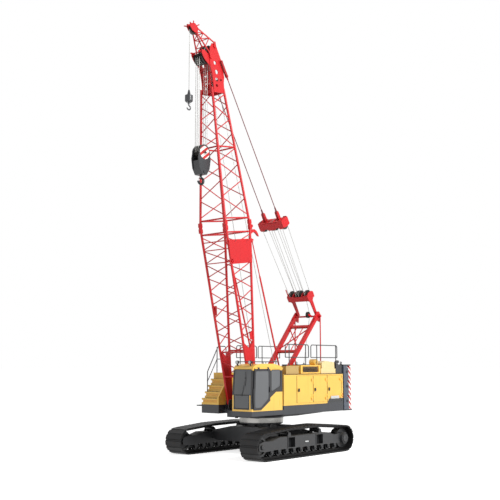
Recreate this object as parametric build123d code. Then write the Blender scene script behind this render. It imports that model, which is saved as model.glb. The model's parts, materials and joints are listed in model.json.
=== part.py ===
from build123d import *
from math import acos, atan2, ceil, cos, hypot, pi, radians, sin
import os

# Crawler crane with a lattice boom. Millimetres, +X forward, +Y to the cab side, +Z up.
# It is modelled about its slewing axis, on the ground. At the end everything is moved
# along X, so that the frame's origin is under the middle of the whole crane.

# Clearances
running_gap = 0.3         # rollers on links, pins in their eyes
bearing_gap = 0.5         # between the two halves of the slew ring, and of a hinge
moving_gap = 6.0          # between pieces that pass each other
seat_gap = 0.3            # glass in its frame

# Tracks: the links' outer line runs round idler and sprocket and over two carrier rollers
track_centre = 1847.0     # from the middle of the machine to the middle of a track
shoe_width = 800.0
shoe_count = 58
shoe_slot = 30.0          # open slot between two shoes
shoe_bevel = 16.0
shoe_plate = 24.0
shoe_lug = 32.0
link_depth = 72.0
link_width = 66.0
link_spread = 112.0       # from the middle of the track to each link rail
idler_x = 2430.0
idler_line_radius = 425.0
sprocket_x = -2450.0
sprocket_line_radius = 440.0
sprocket_teeth = 15
carrier_front_x = 900.0
carrier_rear_x = -950.0
carrier_front_top = 1022.0
carrier_rear_top = 1050.0
carrier_radius = 88.0
carrier_drop = 8.0        # running line of the links dips between their pins
roller_count = 10
roller_radius = 104.0
roller_reach = 1900.0     # first and last bottom roller from the middle
roller_width = 330.0
track_wheel_width = 300.0
axle_radius = 48.0

# Side frames between the tracks' wheels
frame_width = 475.0
frame_inner_y = track_centre - frame_width / 2
frame_outer_y = track_centre + frame_width / 2
frame_plate = 36.0
frame_low_z = 345.0
frame_high_z = 765.0
frame_half_length = 1880.0
yoke_length = 740.0
window_x = (800.0, -900.0)
window_width = 390.0
window_height = 390.0
window_depth = 190.0

# Carbody and slew ring
hub_radius = 640.0
hub_top_z = 1150.0
ring_radius = 845.0
ring_bore = 650.0
ring_height = 86.0
beam_x = 790.0            # middle of each cross beam
beam_width = 430.0
beam_low_z = 450.0
beam_mid_z = 1010.0
beam_end_z = 820.0

# Revolving frame
deck_z = 1490.0           # underside of the side decks
turntable_z = hub_top_z + 2 * ring_height + bearing_gap
web_y = 540.0             # middle of each main web
web_thickness = 44.0
web_top_z = 1860.0
frame_nose_x = 1330.0
tail_x = -3200.0
half_width = 1600.0
bay_half_width = 720.0    # open winch bay between the two houses

# House on the left, with three doors in its side
house_front_x = 630.0
right_deck_x = 690.0      # front of the right deck inboard of the tank
house_top_z = 2960.0
sill_z = 1800.0
house_wall = 40.0
door_edges = (-160.0, -1190.0, -2110.0, -3090.0)
door_gap = 14.0
door_low_z = 1880.0
door_high_z = 2885.0
hinge_offset = 15.0
hinge_radius = 11.0
hinge_height = 70.0

# Cab
cab_front_x = 2420.0
cab_rear_x = 700.0
cab_inner_y = 680.0
cab_outer_y = half_width
cab_floor_z = 1670.0
cab_eaves_z = 3190.0
cab_roof_z = 3340.0
cab_rake = 70.0           # the screen leans back by this over its height
cab_wall = 45.0
glass_thickness = 8.0
cab_door_travel = 700.0
cab_door_front_x = 2350.0
cab_door_rear_x = 1440.0

# Right side: tank with steps at its front, and a closed house behind it
tank_front_x = 1630.0
tank_rear_x = -60.0
tank_top_z = 3000.0
step_count = 4
roof_box_y = 1550.0       # outer side of the boxes on the left roof
intake_top_z = 3260.0
louvre_top_z = 3285.0
outlet_top_z = 3450.0
tail_box_z = 3310.0
rail_top_z = 4060.0
step_run = 165.0
step_nosing = 70.0        # tread over the recess under it
step_tread = 60.0
right_house_top_z = 2900.0

# Counterweight
counter_front_x = -3275.0
counter_rear_x = -3890.0
counter_low_z = 1530.0
counter_top_z = 3310.0
counter_half_width = half_width - 10.0
counter_corner = 170.0
slab_heights = (620.0, 580.0, 580.0)

# Boom, in its own lines: t along it from the foot pin, a forward, b to the left
foot_x = 1142.0
foot_z = 1900.0
boom_angle = 81.75
boom_joint_t = 6620.0
boom_head_t = 11700.0
head_top_t = 13500.0
foot_half_depth = 85.0
foot_half_width = 593.0
joint_half_depth = 680.0
joint_half_width = 640.0
head_half_depth = 325.0
head_half_width = 285.0
chord_radius = 46.0
lace_radius = 19.0
batten_radius = 30.0
foot_eye_radius = 120.0
foot_pin_radius = 60.0
foot_plate_thickness = 90.0
foot_plate_left = 2280.0
foot_plate_right = 1980.0
low_lacing_t = 1050.0     # where the lacing between the two cheeks begins
lower_panels = 8          # zigzag panels of each face above the left cheek
upper_panels = 8
upper_panel_taper = 0.66  # top panel over bottom panel
head_plate = 26.0
head_cheek_y = head_half_width - 8.0          # inner face of a cheek of the head
head_outer_y = head_cheek_y + head_plate
head_sheave_t = 12930.0
head_sheave_a = 430.0
head_sheave_radius = 230.0
head_sheave_count = 5
guide_sheave_t = 13300.0
guide_sheave_a = 120.0
guide_sheave_radius = 150.0
sheave_width = 62.0
sheave_spacing = 88.0
sheave_groove = 24.0
sheave_rim = 9.0
sheave_pin_radius = 42.0
pendant_t = 12830.0
pendant_a = -250.0
pendant_y = 350.0
tip_t = 13950.0
tip_a = 800.0
tip_sheave_radius = 160.0
tip_half_width = 95.0
board_reel_radius = 112.0

# Gantry, its block, the bridle and the pendants
gantry_foot_x = -20.0
gantry_foot_z = 2000.0
gantry_top_x = -2980.0
gantry_top_z = 5380.0
gantry_leg = 140.0
gantry_leg_y = 480.0
gantry_top_y = 555.0
back_link_radius = 24.0
block_length = 900.0      # gantry pin to the middle of the gantry block
block_half_width = 530.0
bridle_distance = 4080.0  # gantry pin to the middle of the bridle
bridle_half_width = 610.0
luff_sheave_radius = 200.0
link_joint_distance = 580.0
pendant_radius = 17.0
pendant_link = 76.0      # across the pair of links at the head end of a pendant

# Backstops, from the deck to the rear chords
stop_foot_x = -560.0
stop_foot_z = 2550.0
stop_y = 625.0
stop_t = 6000.0
stop_tube_radius = 32.0
stop_rod_radius = 20.0
stop_tube_length = 4300.0
stop_pad_thickness = 40.0
stop_eye_radius = 46.0
stop_pin_radius = 20.0
stop_rod_length = 5000.0

# Winches in the bay, for luffing, main and second hoist: x, z, flange radius
winch_half_length = 325.0
winches = ((-1980.0, 2250.0, 230.0), (-780.0, 2230.0, 290.0), (280.0, 2230.0, 290.0))

# Hooks: heights of the block under the boom head and of the weight under the tip
main_block_z = 10760.0
block_sheave_rise = 250.0
block_sheave_radius = 225.0
block_sheave_count = 3
block_guard_radius = 300.0
main_block_half_width = 190.0
main_hook_throat = 85.0
main_hook_thickness = 92.0
aux_weight_z = 12950.0
aux_weight_radius = 145.0
aux_weight_height = 300.0
aux_hook_throat = 62.0
rope_radius = 11.0


def box(x, y, z):
    """Block between the limits of each axis."""
    size = [abs(b - a) for a, b in (x, y, z)]
    middle = [(a + b) / 2 for a, b in (x, y, z)]
    return Pos(*middle) * Box(*size)


def rod(start, end, radius):
    start, end = Vector(*start), Vector(*end)
    line = end - start
    return Solid.make_cylinder(radius, line.length, Plane(origin=start, z_dir=line))


def bar(start, end, across, width, height):
    """Rectangular bar whose width lies along the direction across."""
    start, end = Vector(*start), Vector(*end)
    line = end - start
    plane = Plane(origin=start, x_dir=Vector(*across), z_dir=line)
    return extrude(plane * Rectangle(width, height), line.length)


def prism(points, sweep):
    """Flat outline in space, swept along a straight line."""
    return Solid.extrude(Face(Wire.make_polygon([Vector(*p) for p in points], close=True)), Vector(*sweep))


def plate(outline, y_low, y_high):
    """Outline of (x, z) points, as thick as from y_low to y_high."""
    return prism([(x, y_low, z) for x, z in outline], (0, y_high - y_low, 0))


def disc(x, z, radius, y_low, y_high):
    return rod((x, y_low, z), (x, y_high, z), radius)


def both_sides(shape):
    return [shape, mirror(shape, Plane.XZ)]


def join(pieces):
    """One shape from pieces that touch."""
    pieces = list(pieces)
    return pieces[0].fuse(*pieces[1:]) if len(pieces) > 1 else pieces[0]


def spool(x, z, y, radius, width, groove, rim):
    """Grooved sheave or flanged roller about the Y direction, with its bore left out."""
    half = width / 2
    outline = [(0, -half), (radius, -half), (radius, -half + rim), (radius - groove, -half + rim * 2),
               (radius - groove, half - rim * 2), (radius, half - rim), (radius, half), (0, half)]
    face = Face(Wire.make_polygon([Vector(x + r, y + w, z) for r, w in outline], close=True))
    return Solid.revolve(face, 360, Axis((x, y, z), (0, 1, 0)))


def eye(x, z, outer, bore, y_low, y_high):
    return disc(x, z, outer, y_low, y_high) - disc(x, z, bore, y_low - 1, y_high + 1)


# ---- tracks ----

track_line_z = shoe_plate + shoe_lug
idler_z = track_line_z + idler_line_radius
sprocket_z = track_line_z + sprocket_line_radius


def track_segments():
    """The link line as (length, point on it, heading at its start, turning radius or None)."""
    first = Vector(carrier_front_x, carrier_front_top)
    second = Vector(carrier_rear_x, carrier_rear_top)
    to_first = first - Vector(idler_x, idler_z)
    leave = atan2(to_first.Y, to_first.X) - acos(idler_line_radius / to_first.length)
    to_second = second - Vector(sprocket_x, sprocket_z)
    meet = atan2(to_second.Y, to_second.X) + acos(sprocket_line_radius / to_second.length)
    off_idler = Vector(idler_x, idler_z) + Vector(cos(leave), sin(leave)) * idler_line_radius
    on_sprocket = Vector(sprocket_x, sprocket_z) + Vector(cos(meet), sin(meet)) * sprocket_line_radius
    bottom_rear = Vector(sprocket_x, track_line_z)
    bottom_front = Vector(idler_x, track_line_z)
    segments = [(bottom_rear, bottom_front, None), (bottom_front, off_idler, idler_line_radius),
                (off_idler, first, None), (first, second, None), (second, on_sprocket, None),
                (on_sprocket, bottom_rear, sprocket_line_radius)]
    centres = {idler_line_radius: (Vector(idler_x, idler_z), -pi / 2, leave),
               sprocket_line_radius: (Vector(sprocket_x, sprocket_z), meet, 3 * pi / 2)}
    lengths = [(b - a).length if r is None else r * (centres[r][2] - centres[r][1]) for a, b, r in segments]
    return segments, centres, lengths


def track_pins():
    """Centres of the pins between shoes, evenly spaced along the link line."""
    segments, centres, lengths = track_segments()
    pitch = sum(lengths) / shoe_count
    pins = []
    for number in range(shoe_count):
        left = number * pitch
        index = 0
        while left > lengths[index]:
            left -= lengths[index]
            index += 1
        start, end, radius = segments[index]
        if radius is None:
            pins.append(start + (end - start).normalized() * left)
        else:
            centre, begin, _ = centres[radius]
            turn = begin + left / radius
            pins.append(centre + Vector(cos(turn), sin(turn)) * radius)
    return pins


def outward(a, b):
    """Unit vectors along a link and out of the loop."""
    along = (b - a).normalized()
    return along, Vector(along.Y, -along.X)


def track(middle_y):
    """One closed loop: shoes with slots between them, on two rails of links."""
    pins = track_pins()
    after = pins[1:] + pins[:1]
    before = pins[-1:] + pins[:-1]
    shoes = []
    inside = []
    for here, there, back in zip(pins, after, before):
        along, out = outward(here, there)
        foot = along * (shoe_slot / 2)
        edge = along * (shoe_slot / 2 + shoe_bevel)
        shoes += [here + foot + out * shoe_plate, here + edge + out * (shoe_plate + shoe_lug),
                  there - edge + out * (shoe_plate + shoe_lug), there - foot + out * shoe_plate]
        _, earlier_out = outward(back, here)
        mitre = (out + earlier_out) * (1 / (1 + out.dot(earlier_out)))
        inside.append(here - mitre * link_depth)

    def ring(outer, inner, width, y):
        loops = [Wire.make_polygon([Vector(p.X, y - width / 2, p.Y) for p in loop], close=True)
                 for loop in (outer, inner)]
        return Solid.extrude(Face(loops[0], [loops[1]]), Vector(0, width, 0))

    rails = [ring(pins, inside, link_width, middle_y + side * link_spread) for side in (-1, 1)]
    return join([ring(shoes, pins, shoe_width, middle_y)] + rails)


def wheel_radius(line_radius):
    """Rim that stays clear of the straight links of the polygon round it."""
    _, _, lengths = track_segments()
    pitch = sum(lengths) / shoe_count
    return line_radius * cos(pitch / line_radius / 2) - link_depth - running_gap


def idler(middle_y):
    radius = wheel_radius(idler_line_radius)
    guide = link_spread - link_width / 2 - moving_gap
    tread = disc(idler_x, idler_z, radius, middle_y - track_wheel_width / 2, middle_y + track_wheel_width / 2)
    flange = disc(idler_x, idler_z, radius + link_depth * 0.6, middle_y - guide, middle_y + guide)
    dish = []
    for side in (-1, 1):
        face_y = middle_y + side * track_wheel_width / 2
        hollow = disc(idler_x, idler_z, radius * 0.8, face_y - side * 50, face_y + side)
        dish = dish + [hollow - disc(idler_x, idler_z, radius * 0.36, face_y - side * 51, face_y + side * 2)]
    wheel = join([tread, flange]).cut(*dish)
    half = (frame_outer_y - frame_inner_y) / 2 - frame_plate - running_gap
    return join([wheel, disc(idler_x, idler_z, axle_radius, middle_y - half, middle_y + half)])


def sprocket(middle_y):
    """Toothed drive wheel; its teeth reach between the two rails of links."""
    radius = wheel_radius(sprocket_line_radius)
    guide = link_spread - link_width / 2 - moving_gap
    step = 2 * pi / sprocket_teeth
    outline = []
    for number in range(sprocket_teeth):
        for part, reach in ((0.0, -34.0), (0.3, -34.0), (0.45, 40.0), (0.85, 40.0)):
            turn = (number + part) * step
            outline.append((sprocket_x + (radius + reach) * cos(turn), sprocket_z + (radius + reach) * sin(turn)))
    teeth = plate(outline, middle_y - guide, middle_y + guide)
    rims = disc(sprocket_x, sprocket_z, radius, middle_y - track_wheel_width / 2, middle_y + track_wheel_width / 2)
    half = (frame_outer_y - frame_inner_y) / 2 - frame_plate - running_gap
    hub = disc(sprocket_x, sprocket_z, radius * 0.5, middle_y - half, middle_y + half)
    return join([teeth, rims, hub])


def roller_places():
    step = 2 * roller_reach / (roller_count - 1)
    return [roller_reach - number * step for number in range(roller_count)]


roller_z = track_line_z + link_depth + running_gap + roller_radius


def bottom_roller(x, middle_y):
    drum = spool(x, roller_z, middle_y, roller_radius, roller_width, 0, 40)
    waist = link_spread - link_width / 2 - moving_gap
    groove = eye(x, roller_z, roller_radius + 1, roller_radius * 0.75, middle_y - waist, middle_y + waist)
    half = (frame_outer_y - frame_inner_y) / 2 - frame_plate - running_gap
    return join([drum - groove, disc(x, roller_z, axle_radius * 0.7, middle_y - half, middle_y + half)])


carriers = ((carrier_front_x, carrier_front_top), (carrier_rear_x, carrier_rear_top))


def carrier_z(top):
    return top - link_depth - carrier_drop - carrier_radius


def carrier_roller(x, top, middle_y):
    z = carrier_z(top)
    half = link_spread + link_width / 2 + 12
    drum = disc(x, z, carrier_radius, middle_y - half, middle_y + half)
    return join([drum, disc(x, z, axle_radius * 0.7, middle_y - half - 40, middle_y + half + 40)])


def side_frame():
    """Left side frame: a box beam with yokes for idler and sprocket and hangers for the rollers."""
    beam = box((-frame_half_length, frame_half_length), (frame_inner_y, frame_outer_y),
               (frame_low_z, frame_high_z))
    ramp = 420
    for side in (-1, 1):
        end = side * frame_half_length
        wedge = plate([(end + side, frame_high_z + 1), (end + side, frame_high_z - 110),
                       (end - side * ramp, frame_high_z + 1)], frame_inner_y - 1, frame_outer_y + 1)
        beam -= wedge
    for x in window_x:
        low = (frame_low_z + frame_high_z - window_height) / 2
        beam -= box((x - window_width / 2, x + window_width / 2), (frame_outer_y - window_depth, frame_outer_y + 1),
                    (low, low + window_height))
    pieces = [beam]
    for side, wheel_x, wheel_z in ((1, idler_x, idler_z), (-1, sprocket_x, sprocket_z)):
        end = side * frame_half_length
        root = end - side * 80
        outline = [(root, frame_high_z - 110), (end + side * yoke_length * 0.6, wheel_z + 190),
                   (wheel_x + side * 150, wheel_z + 120), (wheel_x + side * 190, wheel_z),
                   (wheel_x + side * 150, wheel_z - 120), (end + side * yoke_length * 0.45, wheel_z - 170),
                   (root, frame_low_z)]
        for y in (frame_inner_y, frame_outer_y - frame_plate):
            pieces.append(plate(outline, y, y + frame_plate))
        pieces.append(disc(wheel_x, wheel_z, axle_radius * 1.8, frame_outer_y, frame_outer_y + 24))
    drive = disc(sprocket_x, sprocket_z, wheel_radius(sprocket_line_radius) * 0.62,
                 frame_outer_y, frame_outer_y + 70)
    motor = disc(sprocket_x, sprocket_z, wheel_radius(sprocket_line_radius) * 0.5,
                 frame_inner_y - 190, frame_inner_y)
    pieces += [drive, motor]
    for x in roller_places():
        for y in (frame_inner_y, frame_outer_y - frame_plate):
            pieces.append(plate([(x - 95, frame_low_z + 1), (x + 95, frame_low_z + 1), (x + 52, roller_z - 52),
                                 (x - 52, roller_z - 52)], y, y + frame_plate))
    reach = link_spread + link_width / 2 + 12 + 40 + running_gap
    for x, top in carriers:
        for side in (-1, 1):
            inner = track_centre + side * reach
            low, high = sorted((inner, inner + side * 30))
            pieces.append(plate([(x - 110, frame_high_z - 1), (x + 110, frame_high_z - 1),
                                 (x + 50, carrier_z(top) + 50), (x - 50, carrier_z(top) + 50)], low, high))
    return join(pieces)


def carbody():
    """Round hub on two cross beams that slope down to the side frames."""
    hub = rod((0, 0, beam_low_z + 40), (0, 0, hub_top_z), hub_radius)
    seat = rod((0, 0, hub_top_z - 40), (0, 0, hub_top_z), ring_radius - 12)
    half = frame_inner_y
    outline = [(-half, beam_low_z + 60), (-half, beam_end_z), (-hub_radius, beam_mid_z), (hub_radius, beam_mid_z),
               (half, beam_end_z), (half, beam_low_z + 60), (half - 260, beam_low_z), (260 - half, beam_low_z)]
    pieces = [hub, seat]
    for side in (-1, 1):
        x = side * beam_x - beam_width / 2
        pieces.append(prism([(x, y, z) for y, z in outline], (beam_width, 0, 0)))
    pieces.append(box((-beam_x, beam_x), (-hub_radius + 40, hub_radius - 40), (beam_low_z + 20, beam_mid_z - 40)))
    for turn in range(0, 360, 45):
        rib = prism([(hub_radius - 20, -12, beam_mid_z - 60), (ring_radius - 30, -12, hub_top_z - 40),
                     (hub_radius - 20, -12, hub_top_z - 40)], (0, 24, 0))
        pieces.append(Rot(0, 0, turn + 22.5) * rib)
    return join(pieces)


def ring(z):
    return (rod((0, 0, z), (0, 0, z + ring_height), ring_radius)
            - rod((0, 0, z - 1), (0, 0, z + ring_height + 1), ring_bore))


# ---- revolving frame ----


def foot_ears():
    """Two ears either side of each boom foot."""
    ears = []
    inner = foot_half_width - foot_plate_thickness / 2 - running_gap
    outer = foot_half_width + foot_plate_thickness / 2 + running_gap
    outline = [(foot_x - 330, web_top_z - 260), (foot_x - 130, foot_z + 30), (foot_x - 70, foot_z + 105),
               (foot_x + 70, foot_z + 105), (foot_x + 130, foot_z + 30), (frame_nose_x, web_top_z - 260)]
    for low, high in ((inner - 44, inner), (outer, outer + 28)):
        ears.append(plate(outline, low, high) - disc(foot_x, foot_z, foot_pin_radius + running_gap, low - 1, high + 1))
    return ears


def revolving_frame():
    webs = [(tail_x, turntable_z + 60), (tail_x, web_top_z), (foot_x - 420, web_top_z),
            (frame_nose_x, web_top_z - 250), (frame_nose_x, turntable_z + 40), (900, turntable_z),
            (-1500, turntable_z)]
    pieces = [rod((0, 0, turntable_z), (0, 0, turntable_z + 50), ring_radius + 20)]
    for side in (-1, 1):
        low, high = sorted((side * (web_y - web_thickness / 2), side * (web_y + web_thickness / 2)))
        pieces.append(plate(webs, low, high))
    inner = web_y - web_thickness / 2
    pieces.append(box((tail_x, frame_nose_x), (-inner, inner), (turntable_z + 60, turntable_z + 90)))
    pieces.append(box((tail_x, 560), (-inner, inner), (web_top_z - 60, web_top_z - 30)))
    pieces.append(box((frame_nose_x - 40, frame_nose_x), (-inner, inner), (turntable_z + 60, web_top_z - 250)))
    for side, start, edge in ((1, house_front_x, cab_inner_y), (-1, right_deck_x, bay_half_width)):
        low, high = sorted((side * (web_y + web_thickness / 2 - 2), side * (edge - seat_gap)))
        pieces.append(box((start + seat_gap, frame_nose_x), (low, high), (deck_z + 10, foot_z - foot_eye_radius - 140)))
    nose = plate([(frame_nose_x - 30, turntable_z + 10), (frame_nose_x + 120, turntable_z + 20),
                  (frame_nose_x + 130, turntable_z + 120), (frame_nose_x - 30, turntable_z + 220)], -60, -20)
    pieces.append(nose - disc(frame_nose_x + 70, turntable_z + 75, 26, -61, -19))
    for ear in foot_ears():
        pieces += both_sides(ear)
    low, high = gantry_leg_y - gantry_leg / 2 - 3, gantry_leg_y + gantry_leg / 2 + 3
    outline = [(gantry_foot_x - 180, web_top_z - 40), (gantry_foot_x + 180, web_top_z - 40),
               (gantry_foot_x + 70, gantry_foot_z + 80), (gantry_foot_x - 70, gantry_foot_z + 80)]
    for start, end in ((low - 28, low), (high, high + 28)):
        ear = plate(outline, start, end) - disc(gantry_foot_x, gantry_foot_z, 50 + running_gap, start - 1, end + 1)
        pieces += both_sides(ear)
    pieces += both_sides(box((gantry_foot_x - 180, gantry_foot_x + 180), (low - 28, web_y + web_thickness / 2),
                             (web_top_z - 60, web_top_z - 20)))
    return join(pieces + stop_posts())


def side_decks():
    """Outer decks of the revolving frame: under the left house and cab, and under the right house and tank."""
    inner = web_y + web_thickness / 2 + seat_gap
    reach = half_width - 4
    left = [box((tail_x, house_front_x), (inner, reach), (deck_z, sill_z)),
            box((house_front_x - 1, cab_front_x), (cab_inner_y, reach), (deck_z + 10, cab_floor_z))]
    right = [box((tail_x, right_deck_x), (-reach, -inner), (deck_z, sill_z)),
             box((right_deck_x - 1, tank_front_x), (-reach, -bay_half_width), (deck_z, sill_z)), access_step()]
    return [join(left), join(right)]


def stop_posts():
    """Posts on the deck that carry the lower pins of the backstops."""
    posts = []
    for side in (-1, 1):
        ear = stop_eye_radius + 2
        inner = stop_y - stop_tube_radius - 14
        low, high = sorted((side * inner, side * (inner + 12)))
        outline = [(stop_foot_x - 130, web_top_z), (stop_foot_x + 130, web_top_z),
                   (stop_foot_x + ear, stop_foot_z + 20), (stop_foot_x, stop_foot_z + ear),
                   (stop_foot_x - ear, stop_foot_z + 20)]
        post = plate(outline, low, high)
        pin_low, pin_high = sorted((side * inner, side * (stop_y + stop_tube_radius)))
        post = join([post, disc(stop_foot_x, stop_foot_z, stop_pin_radius, pin_low, pin_high)])
        base_low, base_high = sorted((side * (web_y - 20), side * (inner + 12)))
        posts.append(join([post, box((stop_foot_x - 130, stop_foot_x + 130), (base_low, base_high),
                                     (web_top_z, web_top_z + 24))]))
    return posts


# ---- left house, its doors and the engine ----

def door_spans():
    """Front and rear edge of each door. Its front swings out past the next door's hinge knuckles."""
    front_gap = hinge_radius + moving_gap + door_gap / 2
    return [(front - front_gap, rear + door_gap / 2) for front, rear in zip(door_edges, door_edges[1:])]


def hinge_heights():
    inset = 160
    return (door_low_z + inset, door_high_z - inset - 2 * hinge_height)


def left_house():
    outer = box((tail_x, house_front_x), (bay_half_width, half_width), (sill_z, house_top_z))
    roof_edges = outer.edges().filter_by(Axis.X).group_by(Axis.Z)[-1]
    outer = fillet(roof_edges, 35)
    hollow = box((tail_x + house_wall, house_front_x - house_wall),
                 (bay_half_width + house_wall, half_width - house_wall),
                 (sill_z + house_wall, house_top_z - house_wall))
    shell = outer - hollow
    shell -= box((door_edges[-1], door_edges[0]), (half_width - house_wall - 1, half_width + 1),
                 (door_low_z - moving_gap, door_high_z + moving_gap))
    pieces = [shell]
    for edge in door_edges[1:]:
        post = box((edge - 30, edge + 30), (half_width - house_wall - moving_gap - 40, half_width - house_wall - moving_gap),
                   (sill_z + house_wall, house_top_z - house_wall))
        pieces.append(post)
        for z in hinge_heights():
            pieces.append(box((edge - 2, edge + 2), (half_width - house_wall - moving_gap - 1, half_width + hinge_offset),
                              (z, z + hinge_height)))
            pieces.append(rod((edge, half_width + hinge_offset, z), (edge, half_width + hinge_offset, z + hinge_height),
                              hinge_radius))
    return join(pieces)


def house_door(front, rear, edge):
    panel = box((rear, front), (half_width - house_wall, half_width), (door_low_z, door_high_z))
    pieces = [panel]
    axis_y = half_width + hinge_offset
    for z in hinge_heights():
        start = z + hinge_height + bearing_gap
        knuckle = rod((edge, axis_y, start), (edge, axis_y, start + hinge_height), hinge_radius)
        strap = box((edge, rear + 90), (half_width, axis_y - 5), (start, start + hinge_height))
        pieces += [knuckle, strap]
    pieces.append(box((front - 150, front - 60), (half_width, half_width + 22), (2330, 2370)))
    return join(pieces)


def engine():
    return box((-2600, -1000), (bay_half_width + 160, half_width - 240), (sill_z + house_wall, 2640))


def roof_boxes():
    """Air inlet, louvred outlet, air cleaner and exhaust on the left roof."""
    top, out = house_top_z, roof_box_y
    intake = box((-350, 410), (1000, out), (top, intake_top_z))
    recess_z = (top + 60, louvre_top_z - 45)
    louvre = box((-1740, -490), (950, out), (top, louvre_top_z))
    louvre -= box((-1640, -590), (out - 50, out + 1), recess_z)
    for number in range(1, 5):
        z = recess_z[0] + (recess_z[1] - recess_z[0]) * number / 5
        louvre += box((-1641, -589), (out - 51, out - 14), (z - 6, z + 6))
    foot = box((-1690, -1610), (1180, 1380), (louvre_top_z - 1, louvre_top_z + 70))
    cleaner = rod((-1650, 1160, louvre_top_z + 110), (-1650, 1420, louvre_top_z + 110), 125)
    base = box((-2760, -1780), (960, out), (top, 3150))
    outlet = plate([(-1870, 3149), (-1870, 3380), (-2090, outlet_top_z), (-2700, 3400), (-2720, 3149)], 1000, out - 20)
    outlet = fillet(outlet.edges().filter_by(Axis.Y).group_by(Axis.Z)[-1], 40)
    tail = box((tail_x + 10, -2790), (900, out), (top, tail_box_z))
    elbow = sweep(Plane(origin=(-2950, 1420, tail_box_z - 1), z_dir=(0, 0, 1)) * RegularPolygon(60, 12),
                  FilletPolyline((-2950, 1420, tail_box_z - 1), (-2950, 1420, tail_box_z + 110), (-3120, 1420, tail_box_z + 110), radius=80))
    return [intake, join([louvre, foot, cleaner]), join([base, outlet]), join([tail, elbow])]


# ---- cab ----

def cab_profile(inset):
    """Side outline of the cab, drawn in by a wall's thickness where inset is one."""
    rake = cab_rake
    front, rear = cab_front_x - inset, cab_rear_x + inset
    return [(rear, cab_floor_z + inset), (front, cab_floor_z + inset), (front, 2250),
            (front - rake, cab_eaves_z), (front - rake - 90, cab_roof_z - 60 - inset),
            (front - rake - 420, cab_roof_z - inset), (rear + 500, cab_roof_z - inset),
            (rear + 60, cab_eaves_z + 60 - inset), (rear, cab_eaves_z)]


door_sill = ((1980.0, 1770.0), (1450.0, 2090.0))
quarter_window = ((1330.0, 2330.0), (1330.0, 3120.0), (800.0, 3120.0), (800.0, 2540.0))


def door_opening():
    """Outline of the doorway in the cab's side."""
    (low_x, low_z), (high_x, high_z) = door_sill
    return [(cab_door_front_x - 40, low_z), (cab_door_front_x - 40, 2250), (cab_door_front_x - 80, cab_eaves_z - 60),
            (high_x + 30, cab_eaves_z - 60), (high_x + 30, high_z), (low_x, low_z)]


def grown(outline, margin):
    """Outline set out by a margin from its middle, corner by corner."""
    middle_x = sum(x for x, _ in outline) / len(outline)
    middle_z = sum(z for _, z in outline) / len(outline)
    grown_points = []
    for x, z in outline:
        grown_points.append((x + margin * (1 if x > middle_x else -1), z + margin * (1 if z > middle_z else -1)))
    return grown_points


# Windows of the front: lower and upper edge, margin on the inner and outer side, radius of the lower corners
screens = ((1765.0, 2215.0, 95.0, 150.0, 90.0), (2262.0, 3135.0, 58.0, 62.0, 0.0))
window_corner = 70.0


def screen(window, gap, depth_in, depth_out):
    """Block across the front for a window or its glass, drawn in all round by a gap."""
    low, high, inner_margin, outer_margin, corner = window
    low, high = low + gap, high - gap

    def face_x(z):
        lean = max(0.0, (z - 2250) / (cab_eaves_z - 2250))
        return cab_front_x - cab_rake * lean
    inner, outer = cab_inner_y + inner_margin + gap, cab_outer_y - outer_margin - gap
    outline = [(face_x(low) - depth_in, low), (face_x(low) + depth_out, low),
               (face_x(high) + depth_out, high), (face_x(high) - depth_in, high)]
    block = plate(outline, inner, outer)
    if corner:
        block = fillet(block.edges().filter_by(Axis.X).group_by(Axis.Z)[0], corner)
    return block


def rounded(outline, low, high):
    """Window block in the cab's side with rounded corners."""
    block = plate(outline, low, high)
    return fillet(block.edges().filter_by(Axis.Y), window_corner)


def cab_shell():
    outer = plate(cab_profile(0), cab_inner_y, cab_outer_y)
    long_edges = outer.edges().filter_by(Axis.Y)
    soft = [e for e in long_edges if e.center().Z > cab_eaves_z + 20]
    outer = fillet(soft, 50)
    shell = outer - plate(cab_profile(cab_wall), cab_inner_y + cab_wall, cab_outer_y - cab_wall)
    for window in screens:
        shell -= screen(window, 0, cab_wall * 2, 60)
    shell -= plate(door_opening(), cab_outer_y - cab_wall - 1, cab_outer_y + 1)
    shell -= rounded(quarter_window, cab_outer_y - cab_wall - 1, cab_outer_y + 1)
    shell -= rounded(far_window, cab_inner_y - 1, cab_inner_y + cab_wall + 1)
    shell -= box((cab_rear_x - 1, cab_rear_x + cab_wall + 1), (cab_inner_y + 120, cab_outer_y - 120), rear_window_z)
    rail_low = cab_eaves_z - 32
    rail = box((cab_rear_x + 10, cab_door_front_x - 60), (cab_outer_y, cab_outer_y + 34), (rail_low, rail_low + 40))
    return join([shell, rail])


far_window = ((2270.0, 2300.0), (2220.0, 3120.0), (830.0, 3120.0), (830.0, 2300.0))
rear_window_z = (2450.0, 3120.0)


def cab_glass():
    """Fixed panes: screen, lower screen, quarter, right side and rear."""
    panes = []
    for window in screens:
        panes.append(screen(window, seat_gap, 12 + glass_thickness, -12))
    middle = cab_outer_y - cab_wall / 2
    panes.append(rounded(grown(quarter_window, -seat_gap), middle - glass_thickness / 2, middle + glass_thickness / 2))
    middle = cab_inner_y + cab_wall / 2
    panes.append(rounded(grown(far_window, -seat_gap), middle - glass_thickness / 2, middle + glass_thickness / 2))
    middle = cab_rear_x + cab_wall / 2
    panes.append(box((middle - glass_thickness / 2, middle + glass_thickness / 2),
                     (cab_inner_y + 120 + seat_gap, cab_outer_y - 120 - seat_gap),
                     (rear_window_z[0] + seat_gap, rear_window_z[1] - seat_gap)))
    return panes


door_panel_y = cab_outer_y + moving_gap
door_panel_thickness = 30.0


def cab_door_outline():
    (low_x, low_z), (high_x, high_z) = door_sill
    return [(cab_door_front_x, low_z - 50), (cab_door_front_x, 2250), (cab_door_front_x - 50, cab_eaves_z - 40),
            (cab_door_rear_x, cab_eaves_z - 40), (cab_door_rear_x, high_z - 60), (low_x - 40, low_z - 50)]


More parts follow.
